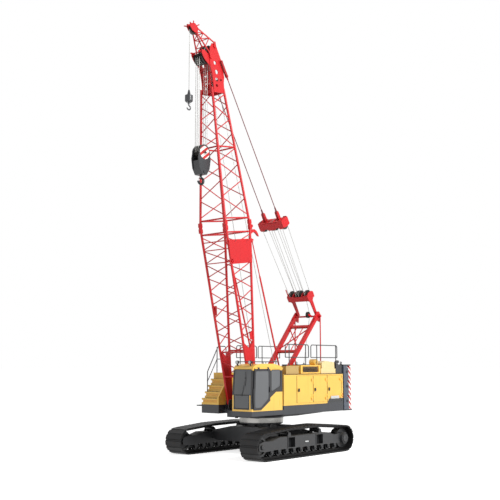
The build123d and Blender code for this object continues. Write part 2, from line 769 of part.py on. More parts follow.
def cab_door_window():
    (low_x, low_z), (high_x, high_z) = door_sill
    return [(cab_door_front_x - 75, low_z + 30), (cab_door_front_x - 75, 2250),
            (cab_door_front_x - 115, cab_eaves_z - 110), (cab_door_rear_x + 80, cab_eaves_z - 110),
            (cab_door_rear_x + 80, high_z + 20), (low_x - 30, low_z + 30)]


def cab_door():
    """Door panel outside the cab's side, hung from the rail by two hooks."""
    low, high = door_panel_y, door_panel_y + door_panel_thickness
    panel = plate(cab_door_outline(), low, high) - rounded(cab_door_window(), low - 1, high + 1)
    pieces = [panel]
    rail_top = cab_eaves_z - 32 + 40
    for x in (cab_door_rear_x + 120, cab_door_front_x - 260):
        hook = box((x - 40, x + 40), (cab_outer_y + 34 + bearing_gap, cab_outer_y + 34 + 14),
                   (cab_eaves_z - 60, rail_top + 14))
        lip = box((x - 40, x + 40), (cab_outer_y + 8, cab_outer_y + 34 + 14), (rail_top + bearing_gap, rail_top + 14))
        neck = box((x - 40, x + 40), (high - 10, cab_outer_y + 34 + 14), (cab_eaves_z - 80, cab_eaves_z - 32 - bearing_gap))
        pieces += [hook, lip, neck]
    handle = box((cab_door_rear_x + 30, cab_door_rear_x + 70), (high, high + 40), (2330, 2520))
    return join(pieces + [handle])


def cab_door_glass():
    middle = door_panel_y + door_panel_thickness / 2
    return rounded(grown(cab_door_window(), -seat_gap), middle - glass_thickness / 2, middle + glass_thickness / 2)


def operator_seat():
    """Seat on its pedestal with a console each side."""
    floor = cab_floor_z + cab_wall
    middle_y = (cab_inner_y + cab_outer_y) / 2
    base = box((1250, 1600), (middle_y - 160, middle_y + 160), (floor, floor + 260))
    cushion = box((1180, 1700), (middle_y - 240, middle_y + 240), (floor + 260, floor + 400))
    back = plate([(1180, floor + 380), (1290, floor + 380), (1190, floor + 1090), (1090, floor + 1090)],
                 middle_y - 220, middle_y + 220)
    head = plate([(1110, floor + 1090), (1190, floor + 1090), (1175, floor + 1260), (1100, floor + 1260)],
                 middle_y - 130, middle_y + 130)
    pieces = [base, cushion, back, head]
    for side in (-1, 1):
        low, high = sorted((middle_y + side * 150, middle_y + side * 330))
        pieces.append(box((1230, 1760), (low, high), (floor + 200, floor + 260)))
        low, high = sorted((middle_y + side * 250, middle_y + side * 330))
        pieces.append(box((1500, 1760), (low, high), (floor + 260, floor + 560)))
        stick_y = middle_y + side * 290
        pieces.append(rod((1660, stick_y, floor + 555), (1690, stick_y, floor + 690), 16))
    return join(pieces)


# ---- right side ----

def tank():
    """Tank whose front is a flight of steps, with a sloping cheek on the side of the boom."""
    body = box((tank_rear_x, tank_front_x), (-half_width, -bay_half_width), (sill_z, tank_top_z))
    rise = (tank_top_z - sill_z) / (step_count + 1)
    cheek = -bay_half_width - 70
    for number in range(1, step_count + 1):
        start = tank_front_x - step_run * number
        z = sill_z + rise * number
        body -= box((start, tank_front_x + 1), (-half_width - 1, cheek), (z, tank_top_z + 1))
        toe = box((start + step_run - step_nosing, start + step_run + 1), (-half_width - 1, cheek),
                  (z - rise * 0.62, z - step_tread))
        body -= toe
    slope = plate([(tank_front_x + 1, sill_z + rise * 1.2), (tank_front_x + 1, tank_top_z + 1),
                   (tank_front_x - step_run * step_count, tank_top_z + 1)], cheek - 1, -bay_half_width + 1)
    return body - slope


def access_step():
    """Step plate that stands out beside the front of the tank."""
    arm = box((tank_front_x - 520, tank_front_x - 460), (-half_width - 60, -half_width + 4), (sill_z - 60, sill_z - 20))
    other = box((tank_front_x - 120, tank_front_x - 60), (-half_width - 60, -half_width + 4), (sill_z - 60, sill_z - 20))
    step = box((tank_front_x - 560, tank_front_x - 20), (-half_width - 290, -half_width - 60), (sill_z - 60, sill_z - 20))
    return join([arm, other, step])


def right_house():
    body = box((tail_x, tank_rear_x - 30), (-half_width, -bay_half_width), (sill_z, right_house_top_z))
    return fillet(body.edges().filter_by(Axis.X).group_by(Axis.Z)[-1], 35)


def rail_loop(x_front, x_rear, posts, y, high):
    """Guard rail: a rounded loop on posts."""
    z_low = high - 480
    path = FilletPolyline((x_front, y, z_low), (x_front, y, high), (x_rear, y, high), (x_rear, y, z_low), radius=90)
    loop = sweep(Plane(origin=(x_front, y, z_low), z_dir=(0, 0, 1)) * RegularPolygon(18, 8), path)
    pieces = [loop, rod((x_front, y, z_low), (x_rear, y, z_low), 16)]
    for share, low in posts:
        x = x_front + (x_rear - x_front) * share
        pieces.append(rod((x, y, low), (x, y, high - 5), 18))
    return join(pieces)


def stair_rail():
    """Handrail down the steps of the tank: a sloping loop on two posts."""
    y = -half_width + 60
    rise = (tank_top_z - sill_z) / (step_count + 1)
    foot_x, foot_z = tank_front_x - step_run * 1.5, sill_z + rise * 2
    top_x = tank_front_x - step_run * step_count - 120
    high = tank_top_z + 1020
    path = FilletPolyline((foot_x, y, foot_z), (foot_x, y, foot_z + 760), (top_x - 60, y, high),
                          (top_x - 520, y, high), (top_x - 520, y, tank_top_z), radius=110)
    loop = sweep(Plane(origin=(foot_x, y, foot_z), z_dir=(0, 0, 1)) * RegularPolygon(18, 8), path)
    post = rod((top_x, y, tank_top_z), (top_x, y, high - 25), 18)
    middle = rod((foot_x, y, foot_z + 380), (top_x, y, tank_top_z + 520), 15)
    across = rod((top_x, y, tank_top_z + 520), (top_x - 520, y, tank_top_z + 520), 15)
    return join([loop, post, middle, across])


# Front and rear of each loop, then its posts: share of the length, and the height that it stands on
left_rails = ((380.0, -1060.0, ((0.16, intake_top_z), (0.87, louvre_top_z))),
              (-1210.0, -2960.0, ((0.22, louvre_top_z), (0.95, tail_box_z))))
right_rails = ((-240.0, -1480.0, ((0.18, right_house_top_z), (0.82, right_house_top_z))),
               (-1580.0, -3000.0, ((0.18, right_house_top_z), (0.82, right_house_top_z))))


def counter_slab(low, high):
    slab = box((counter_rear_x, counter_front_x), (-counter_half_width, counter_half_width), (low, high))
    rear_edges = [e for e in slab.edges().filter_by(Axis.Z) if e.center().X < counter_rear_x + 1]
    slab = fillet(rear_edges, counter_corner)
    for side in (-1, 1):
        pocket = box((counter_rear_x + 200, counter_rear_x + 380), sorted((side * (counter_half_width - 90),
                     side * (counter_half_width + 1))), (high - 130, high - 60))
        slab -= pocket
    return slab


def counter_tray():
    """Tray under the slabs, with two arms forward onto the frame."""
    tray = box((counter_rear_x + 30, counter_front_x), (-counter_half_width + 20, counter_half_width - 20),
               (counter_low_z - 50, counter_low_z))
    arms = []
    for side in (-1, 1):
        span = sorted((side * 400, side * (web_y + web_thickness / 2)))
        arms.append(box((counter_front_x - 20, tail_x), span, (counter_low_z - 50, counter_low_z)))
        arms.append(box((counter_front_x + seat_gap, tail_x), span, (counter_low_z - 1, counter_low_z + 150)))
    return join([tray] + arms)


# ---- boom ----

lean = radians(boom_angle)


def on_boom(t, a, b):
    """Point in the crane's frame from the boom's own lines."""
    return (foot_x + t * cos(lean) + a * sin(lean), b, foot_z + t * sin(lean) - a * cos(lean))


def boom_plate(outline, b_low, b_high):
    """Outline of (t, a) points as a plate across the boom."""
    return prism([on_boom(t, a, b_low) for t, a in outline], (0, b_high - b_low, 0))


def boom_disc(t, a, radius, b_low, b_high):
    return rod(on_boom(t, a, b_low), on_boom(t, a, b_high), radius)


def section(t):
    """Half depth and half width of the lattice at t."""
    if t <= boom_joint_t:
        share = t / boom_joint_t
        ends = ((foot_half_depth, joint_half_depth), (foot_half_width, joint_half_width))
    else:
        share = (t - boom_joint_t) / (boom_head_t - boom_joint_t)
        ends = ((joint_half_depth, head_half_depth), (joint_half_width, head_half_width))
    return [low + (high - low) * share for low, high in ends]


corners = ((1, 1), (1, -1), (-1, -1), (-1, 1))


def corner_point(t, corner, slack=0.0):
    depth, width = section(t)
    return on_boom(t, corner[0] * (depth + slack), corner[1] * (width + slack))


def panel_lines(start, end, count, taper=1.0):
    """Heights of the lacing nodes; each panel is shorter than the one under it by the same ratio."""
    ratio = taper ** (1 / max(1, count - 1))
    shares = [ratio ** number for number in range(count)]
    return [start + (end - start) * sum(shares[:number]) / sum(shares) for number in range(count + 1)]


def lacing(heights, faces):
    """Zigzag diagonals on the named faces, each from chord to chord. Turned the same way round all four."""
    tubes = []
    for face in faces:
        pair = (corners[face], corners[(face + 1) % 4])
        for number, (below, above) in enumerate(zip(heights, heights[1:])):
            first, second = pair if number % 2 == 0 else pair[::-1]
            inset = (above - below) * 0.06
            tubes.append(rod(corner_point(below + inset, first), corner_point(above - inset, second), lace_radius))
    return tubes


def frame_battens(t, radius=batten_radius):
    """Four cross members between the chords at t."""
    return [rod(corner_point(t, corners[i]), corner_point(t, corners[(i + 1) % 4]), radius) for i in range(4)]


front_face, right_face, rear_face, left_face = 0, 1, 2, 3


def boom_chords(start, end):
    return [rod(corner_point(start, corner), corner_point(end, corner), chord_radius) for corner in corners]


def foot_plate(side, length):
    """Solid cheek that tapers to the foot eye on one side."""
    depth, _ = section(length)
    low_depth, _ = section(700)
    outline = [(0, -foot_eye_radius + 8), (0, foot_eye_radius - 8), (700, low_depth + 30), (length, depth),
               (length - 260, 0), (length, -depth), (700, -low_depth - 30)]
    low, high = sorted((side * (foot_half_width - foot_plate_thickness / 2),
                        side * (foot_half_width + foot_plate_thickness / 2)))
    cheek = join([boom_plate(outline, low, high), boom_disc(0, 0, foot_eye_radius, low, high)])
    return cheek - boom_disc(0, 0, foot_pin_radius + running_gap, low - 1, high + 1)


def boom_base():
    """Lower section: foot cheeks, four chords, lacing and cross members."""
    pieces = boom_chords(560, boom_joint_t - 60)
    pieces += [foot_plate(1, foot_plate_left), foot_plate(-1, foot_plate_right)]
    heights = panel_lines(foot_plate_left - 120, boom_joint_t - 330, lower_panels)
    pieces += lacing(heights, (front_face, right_face, rear_face, left_face))
    first = panel_lines(foot_plate_right - 120, heights[0], 1)
    pieces += lacing(first, (right_face,))
    pieces += lacing(panel_lines(low_lacing_t, heights[0], 2), (front_face, rear_face))
    pieces += frame_battens(boom_joint_t - 260)
    for t in (low_lacing_t - 60, foot_plate_right - 60):
        for depth_side in (-1, 1):
            ends = [corner_point(t, (depth_side, side)) for side in (-1, 1)]
            pieces.append(rod(*ends, batten_radius))
    for t in (boom_joint_t - 560, boom_joint_t - 860, boom_joint_t - 1350):
        pieces.append(rod(corner_point(t, corners[0]), corner_point(t, corners[1]), lace_radius))
    pieces += inner_plates()
    for corner in corners:
        depth, width = section(boom_joint_t - 60)
        a, b = corner[0] * depth, corner[1] * width
        lug = boom_plate([(boom_joint_t - 190, a - 60), (boom_joint_t - 190, a + 60), (boom_joint_t - 60, a + 68),
                          (boom_joint_t - seat_gap / 2, a + 40), (boom_joint_t - seat_gap / 2, a - 40), (boom_joint_t - 60, a - 68)],
                         b - 52, b + 52)
        pieces.append(lug)
    return join(pieces)


def inner_plates():
    """Small plates for ropes and cables on the lower section: one in the front face, one in the left."""
    plates = []
    for t, corner, inward, size in ((3500, (1, -1), (0, 1), (360, 150)), (2480, (-1, 1), (1, 0), (420, 190))):
        depth, width = section(t)
        length, reach = size
        a, b = corner[0] * depth, corner[1] * width
        if inward[1]:
            low, high = sorted((b + corner[1] * 10, b - corner[1] * reach))
            plates.append(boom_plate([(t - length / 2, a - 8), (t + length / 2, a - 8 - 30),
                                      (t + length / 2, a + 8 - 30), (t - length / 2, a + 8)], low, high))
        else:
            outline = [(t - length / 2, a - 20), (t + length / 2, a - 20), (t + length / 2 - 120, a + reach),
                       (t - length / 2 + 90, a + reach)]
            plates.append(boom_plate(outline, b - 8, b + 8))
    return plates


def foot_pins():
    reach = foot_half_width + foot_plate_thickness / 2 + running_gap + 28
    inner = foot_half_width - foot_plate_thickness / 2 - running_gap - 44
    return both_sides(disc(foot_x, foot_z, foot_pin_radius, inner, reach))


head_outline = ((11640.0, -325.0), (12060.0, -345.0), (12260.0, -400.0), (12850.0, -330.0), (13500.0, -70.0),
                (13500.0, 120.0), (13330.0, 250.0), (12900.0, 330.0), (12560.0, 320.0), (12420.0, 262.0),
                (12100.0, 240.0), (11640.0, 250.0))
head_bracket = ((12560.0, 240.0), (12700.0, 400.0), (12810.0, 540.0), (12920.0, 620.0), (13070.0, 690.0),
                (13200.0, 680.0), (13190.0, 520.0), (13090.0, 400.0), (13090.0, 240.0))
head_window = ((11760.0, 12020.0), (12110.0, 12330.0))   # cut-outs in the front plate, from and to


def head_plates():
    """Cheeks of the boom head, with lightening holes and bores for its pins."""
    cheeks = []
    for side in (-1, 1):
        low, high = sorted((side * head_cheek_y, side * head_outer_y))
        cheek = boom_plate(head_outline, low, high)
        for t, a, radius in ((11900, 60, 60), (12130, 30, 75), (12420, 10, 85), (12760, 60, 70), (12130, -190, 45)):
            cheek -= boom_disc(t, a, radius, low - 1, high + 1)
        inner, outer = sorted((side * (head_cheek_y - head_plate), side * (head_cheek_y + 1)))
        cheeks += [cheek, boom_plate(head_bracket, inner, outer)]
    return cheeks


def boom_top():
    """Upper section: chords and lacing up to the plated head."""
    pieces = boom_chords(boom_joint_t + 60, boom_head_t + 120)
    heights = panel_lines(boom_joint_t + 330, boom_head_t - 60, upper_panels, upper_panel_taper)
    pieces += lacing(heights, (front_face, right_face, rear_face, left_face))
    for t in (boom_joint_t + 260, heights[4]):
        pieces += frame_battens(t)
    for corner in corners:
        depth, width = section(boom_joint_t + 60)
        a, b = corner[0] * depth, corner[1] * width
        lug = boom_plate([(boom_joint_t + 190, a - 60), (boom_joint_t + 190, a + 60), (boom_joint_t + 60, a + 68),
                          (boom_joint_t + seat_gap / 2, a + 40), (boom_joint_t + seat_gap / 2, a - 40), (boom_joint_t + 60, a - 68)],
                         b - 52, b + 52)
        pieces.append(lug)
    pieces += head_plates()
    inner = head_cheek_y
    half = inner - 95
    front = boom_plate([(11640, 295), (12060, 280), (12440, 245), (12440, 219), (12060, 254), (11640, 269)],
                       -half, half)
    for low, high in head_window:
        front -= boom_plate([(low, 200), (low, 350), (high, 350), (high, 200)], 60 - half, half - 60)
    pieces.append(front)
    for t, a in ((11700, 248), (12060, 236), (12400, 214)):
        pieces.append(boom_disc(t, a, 26, -inner - 1, inner + 1))
    pieces.append(boom_plate([(11640, -300), (12240, -375), (12240, -350), (11640, -275)], -inner, inner))
    pieces.append(boom_disc(13430, -30, 26, -inner, inner))
    for t, a in ((head_sheave_t, head_sheave_a), (guide_sheave_t, guide_sheave_a)):
        pieces.append(boom_disc(t, a, sheave_pin_radius, -inner - 1, inner + 1))
    t, a = 13150, 630
    pieces.append(boom_disc(t, a, 24, -inner, inner))
    for y in (-200, 200):
        pieces.append(boom_plate([(t - 20, a - 20), (t - 30, a + 170), (t + 10, a + 180), (t + 25, a - 20)],
                                 y - 12, y + 12))
    for side in (-1, 1):
        low, high = sorted((side * (head_outer_y - 1), side * (pendant_y - pendant_link / 2 - seat_gap)))
        pieces.append(boom_disc(pendant_t, pendant_a, 85, low, high))
    return join(pieces)


def sheave_row(t, a, radius, count, spacing):
    """Sheaves side by side on one pin, with running clearance on it."""
    row = []
    x, _, z = on_boom(t, a, 0)
    for number in range(count):
        y = (number - (count - 1) / 2) * spacing
        wheel = spool(x, z, y, radius, sheave_width, sheave_groove, sheave_rim)
        row.append(wheel - disc(x, z, sheave_pin_radius + running_gap, y - sheave_width, y + sheave_width))
    return row


def boom_sheaves():
    return (sheave_row(head_sheave_t, head_sheave_a, head_sheave_radius, head_sheave_count, sheave_spacing)
            + sheave_row(guide_sheave_t, guide_sheave_a, guide_sheave_radius, 2, 200)
            + sheave_row(tip_t, tip_a, tip_sheave_radius, 1, 0))


def tip_extension():
    """Small lattice extension over the head that carries the tip sheave, pinned outside the cheeks."""
    pieces = []
    seat = head_outer_y + seat_gap
    centre = seat + 30                  # of a chord's foot, clear of the cheeks
    front_base, rear_base = (13060, 300), (13500, -20)
    front_tip, rear_tip = (13880, 690), (14020, 590)
    middle = [[p + (q - p) * share for p, q in zip(base, end)]
              for share in (0.36, 0.7) for base, end in ((front_base, front_tip), (rear_base, rear_tip))]
    widths = [centre + (tip_half_width - centre) * share for share in (0.36, 0.7)]
    for side in (-1, 1):
        low, high = sorted((side * seat, side * (centre + 10)))
        pieces.append(boom_plate([(12880, 230), (12900, 310), (13080, 350), (13120, 300), (13060, 200)], low, high))
        pieces.append(boom_plate([(13330, -70), (13310, 0), (13380, 60), (13560, 40), (13570, -40)], low, high))
        start, end = side * centre, side * tip_half_width
        runs = [(front_base, start, front_tip, end, 27), (rear_base, start, rear_tip, end, 27),
                (middle[0], side * widths[0], middle[1], side * widths[0], 17),
                (middle[1], side * widths[0], middle[2], side * widths[1], 17),
                (middle[2], side * widths[1], middle[3], side * widths[1], 17),
                (middle[3], side * widths[1], front_tip, end, 17)]
        for (t, a), y, (end_t, end_a), end_y, radius in runs:
            pieces.append(rod(on_boom(t, a, y), on_boom(end_t, end_a, end_y), radius))
        low, high = sorted((side * (tip_half_width - 20), side * (tip_half_width + 6)))
        pieces.append(boom_plate([(13850, 640), (13860, 780), (13930, 900), (14060, 990), (14180, 970), (14210, 720), (14040, 560)],
                                 low, high))
    for number, (t, a) in enumerate(middle):
        pieces.append(boom_disc(t, a, 18, -widths[number // 2], widths[number // 2]))
    for (t, a), (end_t, end_a) in (((14100, 940), (14080, 1120)), ((14160, 800), (14290, 780)),
                                   ((14120, 640), (14190, 500))):
        pieces.append(rod(on_boom(t, a, tip_half_width - 10), on_boom(end_t, end_a, tip_half_width - 10), 22))
        pieces.append(rod(on_boom(t, a, 10 - tip_half_width), on_boom(end_t, end_a, 10 - tip_half_width), 22))
    for t, a in ((14110, 940), (14155, 800), (14120, 640)):
        pieces.append(boom_disc(t, a, 22, -tip_half_width, tip_half_width))
    pieces.append(boom_disc(tip_t, tip_a, sheave_pin_radius, -tip_half_width, tip_half_width))
    return join(pieces)


def sign_board():
    """Plain board on the left face below the joint."""
    low, high = boom_joint_t - 1440, boom_joint_t - 540
    low_depth, _ = section(low)
    depth, width = section(high)
    face = width + chord_radius + seat_gap
    board = boom_plate([(low, -low_depth), (low, depth + 20), (high, depth + 20), (high, -depth)], face, face + 18)
    reel_t, reel_a = low + 110, depth - 10
    reel = boom_disc(reel_t, reel_a, board_reel_radius, face + 17, face + 60)
    reel -= boom_disc(reel_t, reel_a, board_reel_radius - 34, face + 17.5, face + 61)
    return join([board, reel, boom_disc(reel_t, reel_a, 32, face + 17, face + 75)])


def rope_guide():
    """Curved arm at the rear of the joint that keeps the hoist rope off the chords."""
    depth, width = section(boom_joint_t - 260)
    arc = [(-250, -20), (-190, -150), (-190, -260), (-250, -370), (-360, -450), (-470, -490), (-440, -420),
           (-360, -350), (-300, -260), (-310, -160), (-370, -20)]
    arm = boom_plate([(boom_joint_t + t, a - depth) for t, a in arc], width - 60, width + 10)
    ring = boom_disc(boom_joint_t - 60, -depth - 150, 62, width - 30, width - 6)
    ring -= boom_disc(boom_joint_t - 60, -depth - 150, 34, width - 31, width - 5)
    stalk = boom_plate([(boom_joint_t - 150, -depth - 10), (boom_joint_t - 80, -depth - 100),
                        (boom_joint_t - 40, -depth - 100), (boom_joint_t - 90, -depth - 10)], width - 30, width - 6)
    return join([arm, ring, stalk])


# ---- backstops ----

stop_depth, _ = section(stop_t)
stop_top = on_boom(stop_t, -stop_depth - chord_radius - 70, 0)
stop_span = hypot(stop_top[0] - stop_foot_x, stop_top[2] - stop_foot_z)
stop_dir = Vector((stop_top[0] - stop_foot_x) / stop_span, 0, (stop_top[2] - stop_foot_z) / stop_span)
stop_side = Vector(stop_dir.Z, 0, -stop_dir.X)


def stop_point(distance, y, offset=0.0):
    """Point on the line of a backstop, from its lower pin."""
    return (stop_foot_x + stop_dir.X * distance + stop_side.X * offset, y,
            stop_foot_z + stop_dir.Z * distance + stop_side.Z * offset)


def backstop_tube(side):
    y = side * stop_y
    shell = rod(stop_point(0, y), stop_point(stop_tube_length, y), stop_tube_radius)
    shell = shell - rod(stop_point(300, y), stop_point(stop_tube_length + 1, y), stop_rod_radius + running_gap)
    eye_disc = disc(stop_foot_x, stop_foot_z, stop_eye_radius, y - stop_tube_radius, y + stop_tube_radius)
    bore = disc(stop_foot_x, stop_foot_z, stop_pin_radius + running_gap, y - stop_tube_radius - 1, y + stop_tube_radius + 1)
    return join([shell, eye_disc]) - bore


def backstop_rod(side):
    """Inner rod with a broad end that bears against the pad on the boom."""
    y = side * stop_y
    stem = rod(stop_point(stop_span - stop_rod_length, y), stop_point(stop_span - seat_gap, y), stop_rod_radius)
    head = rod(stop_point(stop_span - 60, y), stop_point(stop_span - seat_gap, y), stop_tube_radius)
    return join([stem, head])


def stop_pads():
    """Pads on the rear chords that the backstops bear against."""
    pads = []
    for side in (-1, 1):
        y = side * stop_y
        outline = [stop_point(stop_span, y - 45, -45), stop_point(stop_span, y - 45, chord_radius + 60),
                   stop_point(stop_span + 150, y - 45, chord_radius + 70),
                   stop_point(stop_span + stop_pad_thickness, y - 45, -45)]
        pads.append(prism(outline, (0, 90, 0)))
    return pads


# ---- gantry ----

def leg_point(share, side):
    """Point on a gantry leg, from its foot to the head tube."""
    return (gantry_foot_x + (gantry_top_x - gantry_foot_x) * share,
            side * (gantry_leg_y + (gantry_top_y - gantry_leg_y) * share),
            gantry_foot_z + (gantry_top_z - gantry_foot_z) * share)


link_pin_x = gantry_top_x - 20
link_pin_z = gantry_top_z - 90
link_seat_y = gantry_top_y + gantry_leg / 2 + 4


# Cross tube of the gantry head, behind the swing of the block's links, and a guide sheave in front of it
head_tube_x = gantry_top_x + 100
head_tube_z = gantry_top_z - 105
gantry_sheave_x = head_tube_x + 175
gantry_sheave_z = head_tube_z + 60
gantry_sheave_y = 250.0
gantry_sheave_radius = 130.0


def gantry_sheave():
    wheel = spool(gantry_sheave_x, gantry_sheave_z, gantry_sheave_y, gantry_sheave_radius, sheave_width,
                  sheave_groove, sheave_rim)
    return wheel - disc(gantry_sheave_x, gantry_sheave_z, 24 + running_gap, gantry_sheave_y - sheave_width,
                        gantry_sheave_y + sheave_width)


def gantry_legs():
    """Two legs leaning back, cross members, head cheeks and the pins of the back links."""
    pieces = []
    for side in (-1, 1):
        pieces.append(bar(leg_point(0, side), leg_point(0.95, side), (0, 1, 0), gantry_leg, gantry_leg))
        low, high = sorted((side * (gantry_leg_y - gantry_leg / 2), side * (gantry_leg_y + gantry_leg / 2)))
        pieces.append(disc(gantry_foot_x, gantry_foot_z, 90, low, high))
        low, high = sorted((side * (gantry_top_y - 30), side * (gantry_top_y + 30)))
        pieces.append(plate([(gantry_top_x - 110, gantry_top_z - 330), (gantry_top_x - 130, gantry_top_z),
                             (gantry_top_x - 40, gantry_top_z + 100), (gantry_top_x + 70, gantry_top_z + 90),
                             (gantry_top_x + 330, gantry_top_z - 200)], low, high))
        low, high = sorted((side * gantry_top_y, side * link_seat_y))
        pieces.append(disc(link_pin_x, link_pin_z, 70, low, high))
        low, high = sorted((side * gantry_top_y, side * (link_seat_y + 2 * back_link_radius + 10)))
        pieces.append(disc(link_pin_x, link_pin_z, 26, low, high))
    for share, size in ((0.54, 90), (0.84, 100)):
        pieces.append(bar(leg_point(share, -1), leg_point(share, 1), (1, 0, 0.8), size, size))
    for side in (-1, 1):
        pieces.append(rod(leg_point(0.56, side), leg_point(0.83, -side), 24))
        pieces.append(rod(leg_point(0.56, side * 0.3), leg_point(0.83, side * 0.3), 18))
    pieces.append(disc(head_tube_x, head_tube_z, 35, -gantry_top_y, gantry_top_y))
    for y in (gantry_sheave_y - 62, gantry_sheave_y + 42):
        pieces.append(plate([(head_tube_x - 40, head_tube_z + 20), (gantry_sheave_x - 20, gantry_sheave_z + 45),
                             (gantry_sheave_x + 40, gantry_sheave_z + 30), (gantry_sheave_x + 40, gantry_sheave_z - 30),
                             (head_tube_x + 30, head_tube_z - 40), (head_tube_x - 30, head_tube_z - 40)], y, y + 20))
    pieces.append(disc(gantry_sheave_x, gantry_sheave_z, 24, gantry_sheave_y - 60, gantry_sheave_y + 60))
    frame = join(pieces)
    for side in (-1, 1):
        frame -= disc(gantry_foot_x, gantry_foot_z, 50 + running_gap, *sorted((side * 300, side * 640)))
        frame -= disc(gantry_top_x, gantry_top_z, 48 + running_gap, *sorted((side * 400, side * 700)))
    return frame


def gantry_pins():
    low = gantry_leg_y - gantry_leg / 2 - 3 - 28
    high = gantry_leg_y + gantry_leg / 2 + 3 + 28
    return both_sides(disc(gantry_foot_x, gantry_foot_z, 50, low, high))


def back_links():
    """Tension links from the gantry's top straight down to the frame's tail."""
    links = []
    foot_z_here = web_top_z + 110
    for side in (-1, 1):
        y = side * (link_seat_y + seat_gap + back_link_radius)
        link = rod((link_pin_x, y, foot_z_here), (link_pin_x, y, link_pin_z), back_link_radius)
        eyes = [disc(link_pin_x, z, 56, y - back_link_radius, y + back_link_radius) for z in (link_pin_z, foot_z_here)]
        base = box((link_pin_x - 90, link_pin_x + 90), sorted((side * (web_y - 20), y + side * back_link_radius)),
                   (web_top_z, foot_z_here - 40))
        bore = disc(link_pin_x, link_pin_z, 26 + running_gap, y - back_link_radius - 1, y + back_link_radius + 1)
        links.append(join([link, base] + eyes) - bore)
    return links


head_lug = on_boom(pendant_t, pendant_a, 0)
line_span = hypot(head_lug[0] - gantry_top_x, head_lug[2] - gantry_top_z)
line_dir = Vector((head_lug[0] - gantry_top_x) / line_span, 0, (head_lug[2] - gantry_top_z) / line_span)
line_side = Vector(line_dir.Z, 0, -line_dir.X)


def on_line(distance, offset, y):
    """Point on the luffing line from the gantry pin to the boom head."""
    return (gantry_top_x + line_dir.X * distance + line_side.X * offset, y,
            gantry_top_z + line_dir.Z * distance + line_side.Z * offset)


def line_plate(outline, y_low, y_high):
    return prism([on_line(d, s, y_low) for d, s in outline], (0, y_high - y_low, 0))


def line_disc(distance, offset, radius, y_low, y_high):
    return rod(on_line(distance, offset, y_low), on_line(distance, offset, y_high), radius)


luff_sheave_rows = (-390.0, -60.0, 60.0, 390.0)
bridle_sheave_rows = (-508.0, -60.0, 60.0, 508.0)


def luff_sheaves(distance, rows):
    wheels = []
    x, _, z = on_line(distance, 0, 0)
    for y in rows:
        wheel = spool(x, z, y, luff_sheave_radius, sheave_width, sheave_groove, sheave_rim)
        wheels.append(wheel - disc(x, z, sheave_pin_radius + running_gap, y - sheave_width, y + sheave_width))
    return wheels


cover_offset = luff_sheave_radius + 12.0   # plates in front of and behind a row of luffing sheaves
cover_plate = 16.0


def cover_plates(distance, outline):
    """Two cover plates across the luffing line, outlined by (y, distance) points."""
    covers = []
    for start in (cover_offset, -cover_offset - cover_plate):
        points = [on_line(distance + d, start, y) for y, d in outline]
        sweep = [line_side.X * cover_plate, 0, line_side.Z * cover_plate]
        covers.append(prism(points, sweep))
    return covers


def gantry_block():
    """Swinging head on the gantry pin: two links, a plated box and the pin of its sheaves."""
    pieces = []
    inner = gantry_top_y - gantry_leg / 2 - moving_gap
    reach = cover_offset + cover_plate / 2
    for side in (-1, 1):
        low, high = sorted((side * (inner - 44), side * inner))
        pieces.append(line_plate([(-70, -60), (-70, 60), (block_length - 300, 90), (block_length - 170, reach),
                                  (block_length + 60, reach), (block_length + 60, -reach),
                                  (block_length - 170, -reach), (block_length - 300, -90)], low, high))
        low, high = sorted((side * (inner - 44), side * (gantry_top_y + 30)))
        pieces.append(line_disc(0, 0, 48, low, high))
        for edge in (block_half_width - 30, 210):
            low, high = sorted((side * edge, side * (edge + 30)))
            pieces.append(line_plate([(block_length - 190, -reach), (block_length - 190, reach),
                                      (block_length + 50, reach), (block_length + 120, 90),
                                      (block_length + 120, -90), (block_length + 50, -reach)], low, high))
    half = block_half_width
    outline = [(-half, -120), (60 - half, -190), (half - 60, -190), (half, -120), (half, 20), (half - 100, 60),
               (160, 20), (-160, 20), (100 - half, 60), (-half, 20)]
    pieces += cover_plates(block_length, outline)
    pieces.append(line_disc(block_length, 0, sheave_pin_radius, -half, half))
    socket_y, socket_offset = 140 - half, cover_offset - 20
    pieces.append(rod(on_line(block_length - 60, socket_offset, socket_y - 70),
                      on_line(block_length + 380, socket_offset, socket_y - 70), 22))
    return join(pieces)


def bridle():
    """Floating frame of the luffing rope: a long plated box over a row of sheaves, with lugs for the pendants."""
    pieces = []
    d = bridle_distance
    reach = cover_offset + cover_plate / 2
    ears = [(d + 200, -70), (d + 200, 70), (d + 560, 55), (d + 600, 0), (d + 560, -55)]
    for side in (-1, 1):
        for y in (bridle_half_width - 26, 430, 160):
            low, high = sorted((side * y, side * (y + 26)))
            pieces.append(line_plate([(d - 100, -70), (d - 100, 70), (d - 60, reach), (d + 226, reach),
                                      (d + 260, 130), (d + 260, -130), (d + 226, -reach), (d - 60, -reach)], low, high))
        for edge in (-1, 1):
            start = side * pendant_y + edge * (pendant_link / 2 + seat_gap)
            low, high = sorted((start, start + edge * 22))
            pieces.append(line_plate(ears, low, high))
    half = bridle_half_width
    outline = [(-half, -60), (-half + 60, -110), (-420, -110), (-330, -40), (-250, -40), (-160, -110), (160, -110),
               (250, -40), (330, -40), (420, -110), (half - 60, -110), (half, -60), (half, 230), (half - 60, 270),
               (half - 190, 270), (half - 250, 195), (250 - half, 195), (190 - half, 270), (60 - half, 270), (-half, 230)]
    pieces += cover_plates(d, outline)
    end = d + luff_sheave_radius + 8
    pieces.append(line_plate([(end, -reach), (end, reach), (end + 18, reach), (end + 18, -reach)], -half, half))
    pieces.append(line_disc(d, 0, sheave_pin_radius, -half, half))
    return join(pieces)


